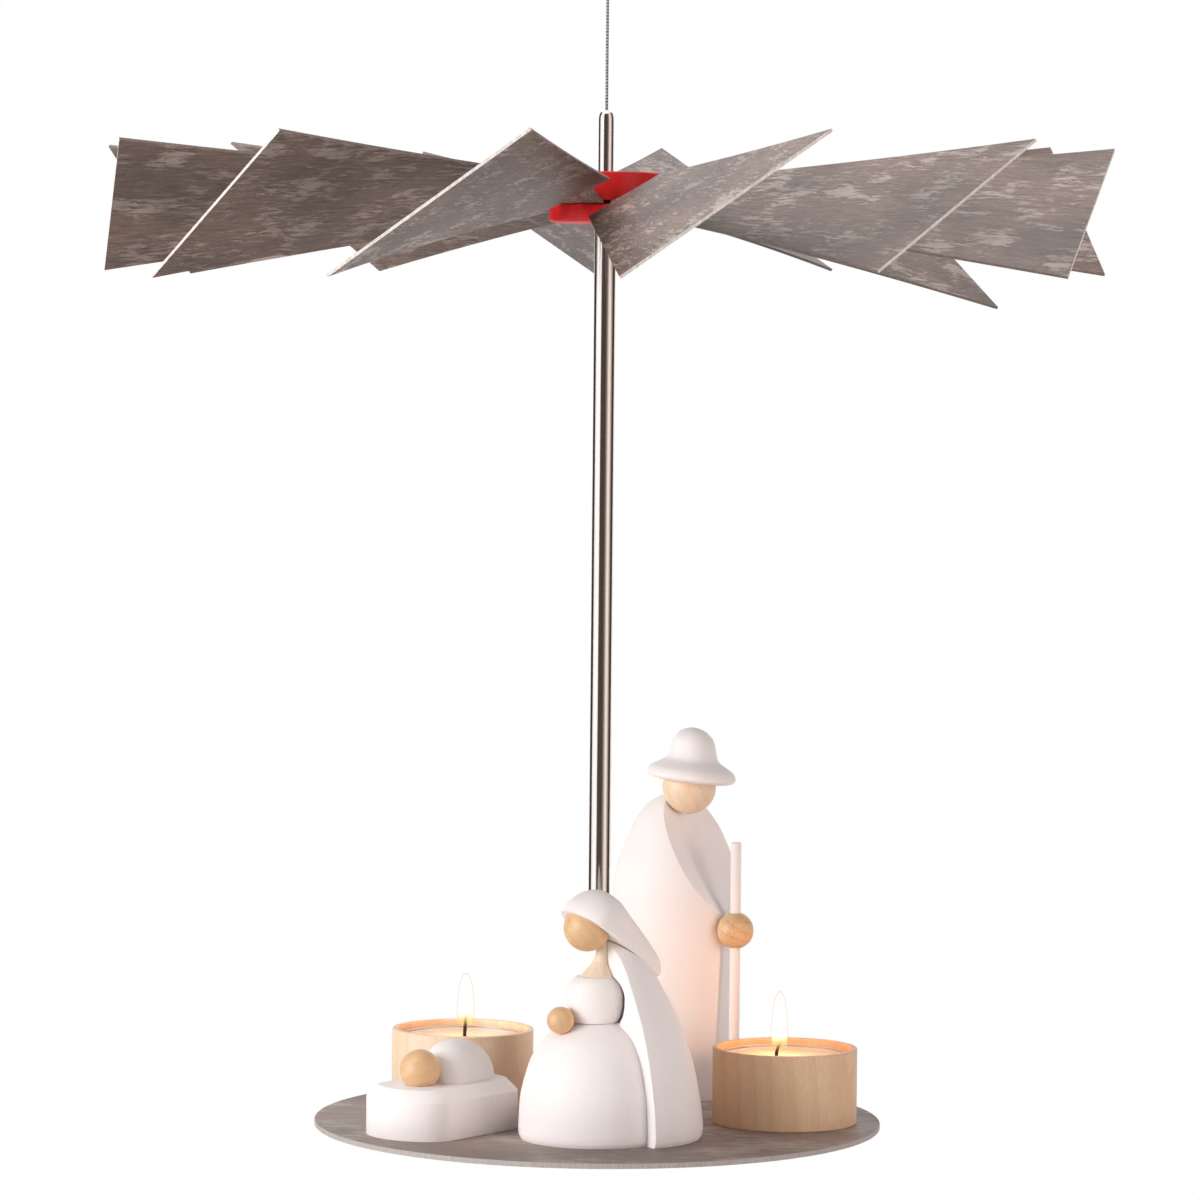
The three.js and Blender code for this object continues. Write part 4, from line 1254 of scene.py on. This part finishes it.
@dataclass
class Tealight:
    """A turned holder with its tealight and flame. Heights are above the plate."""

    side: Side
    x: float
    y: float
    wood: WaxedMaple
    wick_shift: float
    wick_above: float
    wick_lean: float
    flame_foot: float
    flame_tip: float
    flame_r: float
    flame_power: float
    flame_colour: str = "#FFA64E"
    light_r: float = 3.0
    holder_r: float = 23.0
    holder_h: float = 24.0
    holder_round: float = 0.45
    wall: float = 2.0
    floor: float = 5.0
    cup_r: float = 19.5
    cup_h: float = 17.2
    cup_wall: float = 0.5
    cup_round: float = 0.6
    cup_edge: float = 0.1
    wax_above: float = 1.1
    wax_below: float = 0.6
    wax_dip: float = 0.36
    wick_r: float = 0.6
    wick_flat: float = 0.8
    wick_turn: float = 260.0
    wick_bend: float = 1.6
    glow_share: float = 0.45
    glow_full: float = 0.5
    flame_over: float = 0.6
    light_up: float = 0.45

    @property
    def body(self) -> Body:
        """The body that the tealight rides on."""
        return Body(f"tealight_{self.side.value}")

    @property
    def place(self) -> Matrix:
        """Where the holder stands."""
        return Matrix.Translation((self.x, self.y, 0))

    def holder(self) -> None:
        """Turns the holder with softened edges."""
        bore, soft = self.holder_r - self.wall, self.holder_round
        shape = turned([
            (0, 0), *arc(self.holder_r - soft, soft, soft, -90, 0, 4),
            *arc(self.holder_r - soft, self.holder_h - soft, soft, 0, 90, 4),
            *arc(bore + soft, self.holder_h - soft, soft, 90, 180, 4),
            (bore, self.floor), (0, self.floor)], 160)
        piece(shape, f"maple_holder_{self.side.value}", self.wood, Slot.MAPLE, Body.CAROUSEL,
              f"holder_{self.side.value}", place=self.place)

    def cup(self) -> None:
        """Draws the thin cup."""
        low, top = self.floor, self.floor + self.cup_h
        inside, soft, edge = self.cup_r - self.cup_wall, self.cup_round, self.cup_edge
        shape = turned([
            (0, low), *arc(self.cup_r - soft, low + soft, soft, -90, 0, 4),
            (self.cup_r, top - edge), (self.cup_r - self.cup_wall / 2, top), (inside, top - edge),
            (inside, low + self.cup_wall), (0, low + self.cup_wall)], 96)
        piece(shape, f"cup_{self.side.value}", CupSheet(), Slot.CUP, self.body,
              f"tealight_cup_{self.side.value}", place=self.place)

    def wax(self) -> None:
        """Pours the wax with its melted dip round the wick."""
        low, top = self.wax_heights
        edge_r = self.cup_r - self.cup_wall - GAP
        surface = [(edge_r * share, top - depth) for share, depth in (
            (1.0, 0.0), (0.985, 0.12), (0.95, 0.3), (0.8, 0.38), (0.4, 0.4), (0.08, self.wax_dip))]
        shape = turned([(0, low), (edge_r, low), *surface, (0, top - self.wax_dip)], 96)
        drill = rod(self.wick_r + GAP, low - 1, top + 1, self.wick_shift)
        piece(carved(shape, drill), f"wax_body_{self.side.value}", CandleWax(), Slot.WAX, self.body,
              f"wax_{self.side.value}", place=self.place)

    @property
    def wax_heights(self) -> tuple[float, float]:
        """Heights of the wax's underside and of its rim."""
        return self.floor + self.wax_above, self.floor + self.cup_h - self.wax_below

    def wick(self) -> None:
        """Braids the wick, upright in the wax and leaning above it."""
        low, wax_top = self.wax_heights
        shape = bmesh.new()
        start = Matrix.Translation((0, 0, low)) @ Matrix.Diagonal((1, self.wick_flat, 1, 1))
        height = wax_top + self.wick_above - low
        turn = math.radians(self.wick_turn)
        twist_up(shape, start, self.wick_r, height, turn, steps=26, sides=10)
        close_ends(shape)
        for dot in shape.verts:
            above = max(dot.co.z - wax_top, 0) / self.wick_above
            dot.co.x += self.wick_lean * above ** self.wick_bend
        tip = PLATE_TOP + wax_top + self.wick_above
        glow_from = tip - self.glow_share * self.wick_above
        finish = BurningWick(f"burning_wick_{self.side.value}", glow_from, tip - self.glow_full)
        place = self.place @ Matrix.Translation((self.wick_shift, 0, 0))
        piece(shape, f"cotton_wick_{self.side.value}", finish, Slot.WICK, self.body,
              f"wick_{self.side.value}", place=place)

    @property
    def flame_x(self) -> float:
        """How far the flame stands off the holder's axis: over the wick's lean."""
        return self.wick_shift + self.wick_lean * self.flame_over

    def flame(self) -> None:
        """Builds the flame's thin outer skin and pale inside."""
        table = [
            (0, 0), (0.55, 0.02), (0.8, 0.06), (0.94, 0.14), (1.0, 0.27), (0.97, 0.42),
            (0.89, 0.58), (0.77, 0.72), (0.59, 0.86), (0.3, 0.96), (0, 1)]
        height = self.flame_tip - self.flame_foot
        for layer in FLAME_LAYERS:
            inset = 1 - layer.share
            outline = profile(table, self.flame_r * layer.share, height * (1 - inset * 0.35),
                              self.flame_foot + inset * 2)
            shape = turned(smooth(outline, 4), 48)
            for dot in shape.verts:
                dot.co.x += self.flame_x
            finish = Flame(
                f"flame_{layer.name}_{self.side.value}", PLATE_TOP + self.flame_foot, height,
                layer.stops, layer.solid, layer.strength)
            made = piece(shape, finish.name, finish, Slot.WAX, self.body, place=self.place)
            made.visible_shadow = made.visible_diffuse = made.visible_glossy = False

    def light(self) -> None:
        """Adds the light that the flame gives."""
        lamp = bpy.data.lights.new(f"flame_light_{self.side.value}", "POINT")
        lamp.energy, lamp.color = self.flame_power, linear(self.flame_colour)[:3]
        lamp.shadow_soft_size = self.light_r * MM
        light = bpy.data.objects.new(lamp.name, lamp)
        up = PLATE_TOP + self.flame_foot + self.light_up * (self.flame_tip - self.flame_foot)
        light.location = Vector((self.x + self.flame_x, self.y, up)) * MM
        light.visible_glossy = False
        bpy.context.scene.collection.objects.link(light)
        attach(light, self.body.value)

    def build(self) -> None:
        """Builds the holder, the candle and the flame."""
        self.holder()
        self.cup()
        self.wax()
        self.wick()
        self.flame()
        self.light()


# Figures


@dataclass
class Woman:
    """The kneeling figure in the cloak, built facing +X and turned towards the crib."""

    at: tuple[float, float] = (4.0, -36.0)
    faces: float = -145.0
    skirt: Triple = (5.1, 24.4, 36.4)  # forward, radius, height
    torso: Triple = (6.2, 9.2, 14.0)
    neck: Triple = (5.2, 5.5, 10.6)
    neck_lean: float = 0.24
    cloak_r: float = 29.0
    cloak_h: float = 62.6
    cloak_cut: float = 3.0
    cloak_soft: float = 0.6
    head_r: float = 7.3
    head: Triple = (9.3, 0.0, 65.65)
    hand_r: float = 4.25
    hand: Triple = (19.0, 0.0, 37.5)
    veil_r: float = 10.7
    veil_front: tuple[float, float] = (15.9, 72.4)
    veil_back: tuple[float, float] = (-18.3, 49.6)
    veil_cut: tuple[float, float] = (1.3, 1.5)  # below its axis, in front and at the back
    veil_soft: float = 0.3

    @property
    def place(self) -> Matrix:
        """Where the figure stands and which way it looks."""
        return Matrix.Translation((*self.at, 0)) @ Matrix.Rotation(math.radians(self.faces), 4, "Z")

    @property
    def torso_bottom(self) -> float:
        """Height of the torso's foot."""
        return self.skirt[2] + SEAM

    @property
    def neck_bottom(self) -> float:
        """Height of the neck's foot."""
        return self.torso_bottom + self.torso[2] + SEAM

    def skirt_outline(self) -> Outline:
        """Outline of the bell-shaped skirt."""
        _, radius, height = self.skirt
        return smooth(profile([
            (0.965, 0), (0.988, 0.03), (0.998, 0.08), (0.996, 0.145), (0.978, 0.345), (0.925, 0.51),
            (0.836, 0.69), (0.7, 0.835), (0.552, 0.92), (0.32, 1)], radius, height))

    def torso_outline(self) -> Outline:
        """Outline of the rounded torso."""
        _, radius, height = self.torso
        return smooth(profile([
            (0.83, 0), (0.935, 0.14), (0.988, 0.34), (1, 0.5), (0.985, 0.64), (0.93, 0.76),
            (0.835, 0.87), (0.73, 0.945), (0.62, 1)], radius, height, self.torso_bottom))

    def neck_outline(self) -> Outline:
        """Outline of the neck, wide at the foot."""
        _, radius, height = self.neck
        return smooth(profile([
            (1, 0), (0.84, 0.117), (0.62, 0.257), (0.48, 0.38), (0.41, 0.49), (0.37, 0.72),
            (0.37, 1)], radius, height, self.neck_bottom))

    def body_of(self, outline: Outline, forward: float, clearance: float = 0.0,
                lean: float = 0.0) -> Shape:
        """A turned part of the figure, or the room it needs in its neighbours.

        Args:
            outline: its outline.
            forward: how far it stands ahead of the cloak's middle.
            clearance: room around it.
            lean: how far it leans back for each unit of height.

        Returns:
            The mesh.
        """
        wider = [(r + clearance, z) for r, z in outline]
        first, last = wider[0], wider[-1]
        play = SEAM if clearance else 0.0
        shape = turned([(0, first[1] - play), (first[0], first[1] - play), *wider,
                        (last[0], last[1] + play), (0, last[1] + play)])
        for dot in shape.verts:
            dot.co.x += forward - lean * (dot.co.z - outline[0][1])
        return shape

    @property
    def veil_axis(self) -> tuple[Vector, Vector]:
        """The ends of the veil's axis."""
        return tuple(Vector((x, 0, z)) for x, z in (self.veil_front, self.veil_back))

    def veil_plane(self) -> tuple[Vector, Vector]:
        """The veil's flat underside: a point on it and its upward normal."""
        front, back = self.veil_axis
        along = (back - front).normalized()
        up = Vector((along.z, 0, -along.x))
        start, end = front - up * self.veil_cut[0], back - up * self.veil_cut[1]
        under = (end - start).normalized()
        return start, Vector((under.z, 0, -under.x))

    def veil(self) -> Shape:
        """Turns the veil like an egg, cuts it flat and hollows it for the head."""
        front, back = self.veil_axis
        along = back - front
        shape = turned(smooth([(0, 0), *profile([
            (0.25, 0.008), (0.5, 0.04), (0.7, 0.075), (0.86, 0.12), (0.96, 0.165), (1, 0.22),
            (1, 0.32), (0.87, 0.45), (0.72, 0.6), (0.535, 0.78), (0.35, 0.91), (0.12, 0.985)],
            self.veil_r, along.length), (0, along.length)]))
        turn = Vector((0, 0, 1)).rotation_difference(along).to_matrix().to_4x4()
        bmesh.ops.transform(shape, verts=shape.verts, matrix=Matrix.Translation(front) @ turn)
        start, normal = self.veil_plane()
        slice_off(shape, start, -normal, softened=self.veil_soft)
        return carved(shape, ball(self.head_r + ROOM, self.head))

    def torso_room(self) -> Shape:
        """The torso's bed, drawn out to the front so that the torso shows whole from there."""
        bed = self.body_of(self.torso_outline(), self.torso[0], ROOM)
        aside = Matrix.Rotation(math.radians(-self.faces), 3, "Z") @ Vector((0, -self.torso[1], 0))
        shape = bmesh.new()
        for dot in bed.verts:
            shape.verts.new(dot.co)
            shape.verts.new(dot.co + aside)
        bed.free()
        hull = bmesh.ops.convex_hull(shape, input=shape.verts)
        inner = dict.fromkeys(hull["geom_interior"] + hull["geom_unused"])
        bmesh.ops.delete(shape, geom=[dot for dot in inner if is_corner(dot)], context="VERTS")
        bmesh.ops.recalc_face_normals(shape, faces=shape.faces)
        return shape

    def cloak(self) -> Shape:
        """Turns the cloak as a bell, cuts it flat in front and beds the other parts in it."""
        outline = smooth(profile([
            (0.985, 0), (1, 0.065), (0.955, 0.225), (0.87, 0.4), (0.74, 0.575), (0.58, 0.72),
            (0.37, 0.88), (0.1, 0.99)], self.cloak_r, self.cloak_h))
        foot_r = outline[0][0] - 0.5
        bell = turned([(0, 0), (foot_r, 0), *outline[1:], (0, self.cloak_h)])
        start, normal = self.veil_plane()
        slice_off(bell, (self.cloak_cut, 0, 0), (1, 0, 0), softened=self.cloak_soft)
        slice_off(bell, start - normal * GAP, normal)
        return carved(
            bell, self.body_of(self.skirt_outline(), self.skirt[0], ROOM), self.torso_room(),
            self.body_of(self.neck_outline(), self.neck[0], ROOM, self.neck_lean))

    def build(self) -> None:
        """Builds the figure."""
        start, normal = self.veil_plane()
        neck = self.body_of(self.neck_outline(), self.neck[0], lean=self.neck_lean)
        slice_off(neck, start - normal * ROOM, normal)
        neck = carved(neck, ball(self.head_r + ROOM, self.head))
        hand = carved(
            ball(self.hand_r, self.hand), self.body_of(self.skirt_outline(), self.skirt[0], ROOM),
            self.body_of(self.torso_outline(), self.torso[0], ROOM))
        wooden_part(neck, "woman_neck", KEY_LIT_NECK_MAPLE, (0, 0, 10), self.place)
        head = ball(self.head_r, self.head)
        wooden_part(head, "woman_head", GOLDEN_MAPLE, (75, 10, 30), self.place)
        wooden_part(hand, "woman_hand", GOLDEN_MAPLE, (80, 20, 10), self.place)
        white = {
            "skirt": self.body_of(self.skirt_outline(), self.skirt[0]),
            "torso": self.body_of(self.torso_outline(), self.torso[0]),
            "veil": self.veil(),
            "cloak": self.cloak(),
        }
        for name, shape in white.items():
            piece(shape, f"woman_{name}_turned", WHITE, Slot.WHITE, Body.CAROUSEL, f"woman_{name}",
                  place=self.place)


@dataclass
class Man:
    """The standing figure with hat and staff."""

    at: tuple[float, float] = (25.5, 57.0)
    gown_r: float = 21.4
    gown_h: float = 99.8
    side_point: Triple = (37.4, 40.8, 0.0)
    side_normal: Triple = (0.965, -0.26, -0.045)
    side_soft: float = 0.5
    lapel: tuple[tuple[Triple, ...], ...] = (  # along the facet, its edge, the valley, the far side
        ((13.0, 48.7, 104.9), (28.6, 61.5, 103.0), (31.5, 64.0, 103.0), (37.0, 68.0, 103.0)),
        ((13.0, 40.7, 98.4), (27.9, 57.6, 97.0), (30.7, 60.6, 97.0), (36.0, 65.0, 97.0)),
        ((13.0, 35.2, 94.0), (27.2, 53.6, 91.8), (29.9, 57.4, 91.8), (38.5, 65.0, 92.0)),
        ((13.0, 29.1, 89.0), (26.8, 49.4, 87.0), (29.4, 54.2, 86.9), (43.0, 64.2, 86.7)),
        ((13.0, 21.7, 83.0), (28.1, 45.0, 80.8), (30.5, 50.0, 80.6), (47.0, 66.0, 80.0)),
        ((13.0, 14.4, 77.1), (31.0, 42.5, 74.4), (33.2, 47.2, 74.2), (49.0, 65.0, 73.0)),
        ((13.0, 6.4, 70.6), (36.1, 42.2, 67.0), (38.0, 46.8, 66.7), (49.0, 63.0, 65.5)),
        ((13.0, 1.1, 66.3), (40.8, 44.0, 61.8), (42.0, 46.6, 61.6), (49.0, 61.5, 60.5)),
        ((13.0, -4.0, 62.2), (45.2, 45.7, 56.9), (45.9, 47.3, 56.7), (49.5, 60.0, 56.0)))
    outward: Triple = (0.45, -0.88, 0.12)
    head_r: float = 8.8
    head: Triple = (29.2, 51.5, 101.9)
    hat_at: Triple = (29.7, 51.5, 104.0)
    hat_r: float = 14.6
    hat_h: float = 17.4
    hat_tilt: float = 6.3
    crown_from: float = 0.3  # share of the hat's height
    crown_lean: float = 0.075
    hand_r: float = 6.0
    hand: Triple = (44.5, 39.7, 56.1)
    staff_r: float = 1.7
    staff_top: float = 84.9
    staff_round: float = 0.4

    def lapel_tool(self) -> Shape:
        """What the lapel takes off the gown: a facet and beside it a hollow down to the hand."""
        columns = [spline([Vector(point) for point in column], steps=6)
                   for column in zip(*self.lapel)]
        shape = bmesh.new()
        rows = []
        for facet, edge, valley, far in zip(*columns):
            across = [facet, *spline([edge, valley, far], steps=10)]
            rows.append([shape.verts.new(point) for point in across])
        for upper, lower in zip(rows, rows[1:]):
            for a, b, c, d in zip(upper, upper[1:], lower[1:], lower):
                shape.faces.new((a, b, c, d))
        thickened(shape, Vector(self.outward) * 4 * self.gown_r)
        return shape

    def staff_drill(self) -> Shape:
        """The room that the staff needs in the gown and the hand."""
        return rod(self.staff_r + GAP, -1, self.staff_top + 1, *self.hand[:2])

    def gown(self) -> Shape:
        """Turns the gown, cuts its flat side, carves the lapel and the beds of its neighbours."""
        outline = smooth(profile([
            (0.95, 0), (0.965, 0.02), (0.985, 0.15), (1, 0.4), (0.985, 0.68), (0.94, 0.745),
            (0.87, 0.795), (0.755, 0.855), (0.6, 0.923), (0.4, 0.97), (0.17, 0.995)],
            self.gown_r, self.gown_h))
        shape = turned([(0, 0), *outline, (0, self.gown_h)], 160)
        bmesh.ops.translate(shape, verts=shape.verts, vec=(*self.at, 0))
        slice_off(shape, self.side_point, self.side_normal, softened=self.side_soft)
        return carved(
            shape, self.lapel_tool(), ball(self.head_r + ROOM, self.head),
            ball(self.hand_r + ROOM, self.hand), self.staff_drill())

    def hat(self) -> Shape:
        """Turns the hat with its curled brim and hollows it for the head."""
        outline = smooth([*profile([
            (0.82, 0), (0.925, 0.023), (0.986, 0.063), (1, 0.11), (0.98, 0.16), (0.925, 0.225),
            (0.76, 0.31), (0.63, 0.375), (0.565, 0.44), (0.525, 0.535), (0.5, 0.65), (0.462, 0.76),
            (0.402, 0.845), (0.3, 0.925), (0.14, 0.985)], self.hat_r, self.hat_h), (0, self.hat_h)],
            round_top=True)
        shape = turned([(0, 0), *outline])
        for dot in shape.verts:
            dot.co.x -= self.crown_lean * max(dot.co.z - self.crown_from * self.hat_h, 0)
        bmesh.ops.transform(shape, verts=shape.verts, matrix=Matrix.Translation(
            self.hat_at) @ Matrix.Rotation(math.radians(self.hat_tilt), 4, "Y"))
        return carved(shape, ball(self.head_r + ROOM, self.head))

    def build(self) -> None:
        """Builds the figure."""
        piece(self.gown(), "man_gown_carved", WHITE, Slot.WHITE, Body.CAROUSEL, "man_gown")
        piece(self.hat(), "man_hat_turned", WHITE, Slot.WHITE, Body.CAROUSEL, "man_hat")
        wooden_part(ball(self.head_r, self.head), "man_head", KEY_LIT_MAPLE, (85, 0, 20))
        hand = carved(ball(self.hand_r, self.hand), self.staff_drill())
        wooden_part(hand, "man_hand", KEY_AND_CANDLE_LIT_MAPLE, (80, 15, 60))
        soft = self.staff_round
        staff = turned([
            (0, 0), (self.staff_r, 0),
            *arc(self.staff_r - soft, self.staff_top - soft, soft, 0, 90, 4),
            (0, self.staff_top)], 48)
        piece(staff, "staff_rod", WHITE, Slot.WHITE, Body.CAROUSEL, "staff",
              place=Matrix.Translation((*self.hand[:2], 0)))


@dataclass
class Crib:
    """The oval crib and the infant on it."""

    at: tuple[float, float] = (-48.5, -27.2)
    turn: float = 52.0
    half_width: float = 16.0
    straight: float = 29.5
    end: float = 11.3
    height: float = 15.5
    chamfer: float = 3.5
    edge_round: float = 0.2
    head_r: float = 6.35
    head_at: float = -11.0
    head_sink: float = 1.7
    body_from: float = -5.0
    body_length: float = 26.0
    body_height: float = 12.6
    body_half_width: float = 9.8

    @property
    def place(self) -> Matrix:
        """Where the crib stands."""
        return Matrix.Translation((*self.at, 0)) @ Matrix.Rotation(math.radians(self.turn), 4, "Z")

    @property
    def bed(self) -> float:
        """Height on which the infant lies."""
        return self.height + SEAM

    @property
    def head_centre(self) -> Triple:
        """Middle of the infant's head."""
        return (self.head_at, 0.0, self.bed + self.head_r - self.head_sink)

    def base(self) -> Shape:
        """Cuts the oval block and chamfers its top."""
        shape = bmesh.new()
        bmesh.ops.create_circle(shape, cap_ends=True, segments=128, radius=1.0)
        for dot in shape.verts:
            shift = math.copysign(self.straight / 2, dot.co.x) if abs(dot.co.x) > 1e-6 else 0.0
            dot.co = (dot.co.x * self.end + shift, dot.co.y * self.half_width, 0)
        top = thickened(shape, (0, 0, self.height))
        soften(shape, [e for e in shape.edges if all(v in top for v in e.verts)], self.chamfer)
        edges = [e for e in shape.edges if 25 < math.degrees(e.calc_face_angle(0)) < 100]
        soften(shape, edges, self.edge_round, segments=2)
        return shape

    def infant(self) -> Shape:
        """Half an egg lying along the crib, blunt at the head's end."""
        shape = turned(smooth([(0, 0), *profile([
            (0.42, 0.02), (0.78, 0.1), (0.96, 0.24), (1, 0.4), (0.95, 0.6), (0.8, 0.78),
            (0.5, 0.93), (0.16, 0.99)], self.body_height, self.body_length),
            (0, self.body_length)]))
        lie = Matrix.Rotation(math.radians(90), 4, "Y") @ Matrix.Diagonal(
            (1, self.body_half_width / self.body_height, 1, 1))
        bmesh.ops.transform(shape, verts=shape.verts, matrix=Matrix.Translation(
            (self.body_from, 0, self.bed)) @ lie)
        hollowed = carved(shape, ball(self.head_r + ROOM, self.head_centre))
        return slice_off(hollowed, (0, 0, self.bed), (0, 0, -1))

    def build(self) -> None:
        """Builds the crib, the infant's body and its head."""
        base_white = GlazedWhite(name="white_glazed_board", turn=(90, 0, 40))
        piece(self.base(), "crib_block", base_white, Slot.WHITE, Body.CAROUSEL, "crib_base",
              place=self.place)
        piece(self.infant(), "infant_body_turned", WHITE, Slot.WHITE, Body.CAROUSEL, "infant_body",
              place=self.place)
        head = slice_off(ball(self.head_r, self.head_centre), (0, 0, self.bed), (0, 0, -1))
        wooden_part(head, "infant_head", GOLDEN_MAPLE, (85, 0, 120), self.place)


# Studio


@dataclass(frozen=True)
class Card:
    """A curved card round the pyramid, between two angles from the camera's side to the right."""

    start: float
    end: float
    colour: str


@dataclass(frozen=True)
class Lamp:
    """A soft square lamp: its place and side in metres, and its power in watts."""

    name: str
    place: Triple
    side: float
    power: float
    colour: str


CARDS = (
    Card(-148, -98, "#43362F"), Card(-98, -36, "#FFFFFF"), Card(-36, 16, "#4C403C"),
    Card(16, 30, "#73655F"), Card(30, 43, "#BDAFA7"), Card(43, 70, "#F6EDE6"),
    Card(70, 86, "#B3A59D"), Card(86, 125, "#463A34"), Card(125, 212, "#FFFFFF"))
LAMPS = (
    Lamp("key_left", (-1.35, -0.72, 0.22), 0.75, 18.5, "#FFFEFE"),
    Lamp("top", (-0.3, 0.0, 1.28), 1.0, 12, "#FFFFFF"),
    Lamp("fill_right", (1.2, -0.9, 0.12), 0.8, 7.8, "#FFF1ED"))


@dataclass
class Studio:
    """Camera, floor, soft lights and the dark and pale cards that polished steel mirrors."""

    distance: float = 1565.309
    camera_height: float = 239.055
    pitch_down: float = 2.691
    roll: float = 0.541
    focal_px: float = 4938.5
    image_px: float = 1200.0
    centre_x: float = 602.015
    sensor_mm: float = 36.0
    floor_drop: float = 220.0
    floor_r: float = 12.0
    card_r: float = 1.45
    card_half: float = 1.4
    lamps_aim: float = 150.0
    ambient: tuple[float, float] = (0.1, 0.39)  # from below and from above

    def camera(self) -> None:
        """Places the camera at the photograph's angle."""
        data = bpy.data.cameras.new("photo_camera")
        data.sensor_fit, data.sensor_width = "HORIZONTAL", self.sensor_mm
        data.lens = data.sensor_width * self.focal_px / self.image_px
        data.shift_x = (self.image_px / 2 - self.centre_x) / self.image_px
        data.clip_start, data.clip_end = 0.05, 60.0
        made = bpy.data.objects.new("photo_camera", data)
        turn = Matrix.Rotation(math.radians(90 - self.pitch_down), 4, "X") @ Matrix.Rotation(
            math.radians(self.roll), 4, "Z")
        made.matrix_world = Matrix.Translation(
            Vector((0, -self.distance, PLATE_TOP + self.camera_height)) * MM) @ turn
        bpy.context.scene.collection.objects.link(made)
        bpy.context.scene.camera = made

    def seen_white(self, tree: Tree) -> bpy.types.Node:
        """Is 1 for rays from the camera, from gloss and through glass."""
        rays = add_node(tree, "ShaderNodeLightPath")
        first = add_node(tree, "ShaderNodeMath", {
            0: rays.outputs["Is Camera Ray"], 1: rays.outputs["Is Glossy Ray"]},
            operation="MAXIMUM")
        return add_node(tree, "ShaderNodeMath", {
            0: first, 1: rays.outputs["Is Transmission Ray"]}, operation="MAXIMUM")

    def world(self) -> None:
        """A white background over a softer ambient light."""
        world = bpy.data.worlds.new("studio")
        bpy.context.scene.world = world
        world.use_nodes = True
        tree = world.node_tree
        tree.nodes.clear()
        up = add_node(tree, "ShaderNodeSeparateXYZ", {
            "Vector": add_node(tree, "ShaderNodeTexCoord").outputs["Generated"]})
        ambient = add_node(tree, "ShaderNodeMapRange", {
            "Value": up.outputs["Z"], "From Min": -0.3, "From Max": 0.2,
            "To Min": self.ambient[0], "To Max": self.ambient[1]})
        strength = add_node(tree, "ShaderNodeMix", {
            "Factor": self.seen_white(tree), 2: ambient, 3: 1.0})
        light = add_node(tree, "ShaderNodeBackground", {
            "Color": (1, 1, 1, 1), "Strength": strength})
        add_node(tree, "ShaderNodeOutputWorld", {"Surface": light})

    def floor(self) -> None:
        """A pale floor far below the plate, which fades into the white background."""
        shape = bmesh.new()
        bmesh.ops.create_circle(shape, cap_ends=True, segments=96, radius=self.floor_r)
        made = to_object(shape, "floor")
        made.location.z = (PLATE_TOP - self.floor_drop) * MM
        made.data.materials.append(material_of(FadingPaper()))

    def card(self, name: str, card: Card) -> None:
        """Stands up a card that only polished surfaces mirror.

        Args:
            name: the card's name.
            card: where it stands and what it shows.
        """
        shape = bmesh.new()
        ends = (-self.card_half, self.card_half)
        shape.edges.new([shape.verts.new((0, -self.card_r, z)) for z in ends])
        bmesh.ops.rotate(shape, verts=shape.verts, cent=(0, 0, 0),
                         matrix=Matrix.Rotation(math.radians(card.start), 3, "Z"))
        bmesh.ops.spin(shape, geom=shape.verts[:] + shape.edges[:], cent=(0, 0, 0), axis=(0, 0, 1),
                       angle=math.radians(card.end - card.start), steps=24)
        made = to_object(shape, name)
        made.data.materials.append(material_of(GlowingCard(name, card.colour)))
        made.visible_camera = made.visible_diffuse = made.visible_shadow = False
        made.visible_transmission = False

    def lamp(self, lamp: Lamp) -> None:
        """Adds a lamp that looks at the figures.

        Args:
            lamp: the lamp, its place counted from the point that it looks at.
        """
        data = bpy.data.lights.new(lamp.name, "AREA")
        data.shape, data.size, data.energy = "SQUARE", lamp.side, lamp.power
        data.color = linear(lamp.colour)[:3]
        made = bpy.data.objects.new(lamp.name, data)
        target = Vector((0, 0, (PLATE_TOP + self.lamps_aim) * MM))
        made.location = target + Vector(lamp.place)
        made.rotation_euler = (target - made.location).to_track_quat("-Z", "Y").to_euler()
        made.visible_camera = False
        bpy.context.scene.collection.objects.link(made)

    def build(self) -> None:
        """Builds the studio."""
        bpy.context.scene.view_settings.view_transform = "Standard"
        self.camera()
        self.world()
        self.floor()
        for number, card in enumerate(CARDS):
            self.card(f"card_{number}", card)
        for lamp in LAMPS:
            self.lamp(lamp)


def dress_cad_nodes() -> None:
    """Gives the CAD nodes that stay, and the hidden ones, the finish of their slot."""
    never = 9000.0  # a height that no wick reaches, so that none of it glows
    finishes = {
        Slot.STEEL: TURNED_STEEL, Slot.BRONZE: SinteredBronze(), Slot.SLATE: PLATE_SLATE,
        Slot.RED: RED, Slot.MAPLE: WaxedMaple(name="waxed_maple"), Slot.WHITE: WHITE,
        Slot.CUP: CupSheet(), Slot.WAX: CandleWax(),
        Slot.WICK: BurningWick("charred_wick", never, never + 1),
    }
    slots = {row["node"]: Slot(row["material_slot"]) for row in frame["record"]["subparts"]}
    for name, node in frame["nodes"].items():
        material = material_of(finishes[slots[name]])
        node.data.materials.clear()
        node.data.materials.append(material)


def main() -> None:
    """Builds the whole scene, camera and cable first."""
    logging.basicConfig(level=logging.INFO, format="%(name)s %(message)s")
    Studio().build()
    Suspension().build()
    Rotor().build()
    Stand().build()
    Tealight(
        side=Side.RIGHT, x=59.5, y=-3.5, wood=HOLDER_RIGHT_MAPLE, wick_shift=-2.7, wick_above=4.3,
        wick_lean=1.5, flame_foot=22.2, flame_tip=42.0, flame_r=2.8, flame_power=0.022).build()
    Tealight(
        side=Side.LEFT, x=-44.0, y=34.9, wood=BOUNCE_LIT_HOLDER_LEFT_MAPLE, wick_shift=0.6, wick_above=7.3,
        wick_lean=0.5, flame_foot=24.0, flame_tip=42.1, flame_r=2.9, flame_power=0.012).build()
    Woman().build()
    Man().build()
    Crib().build()
    dress_cad_nodes()


if __name__ == "__main__":
    main()
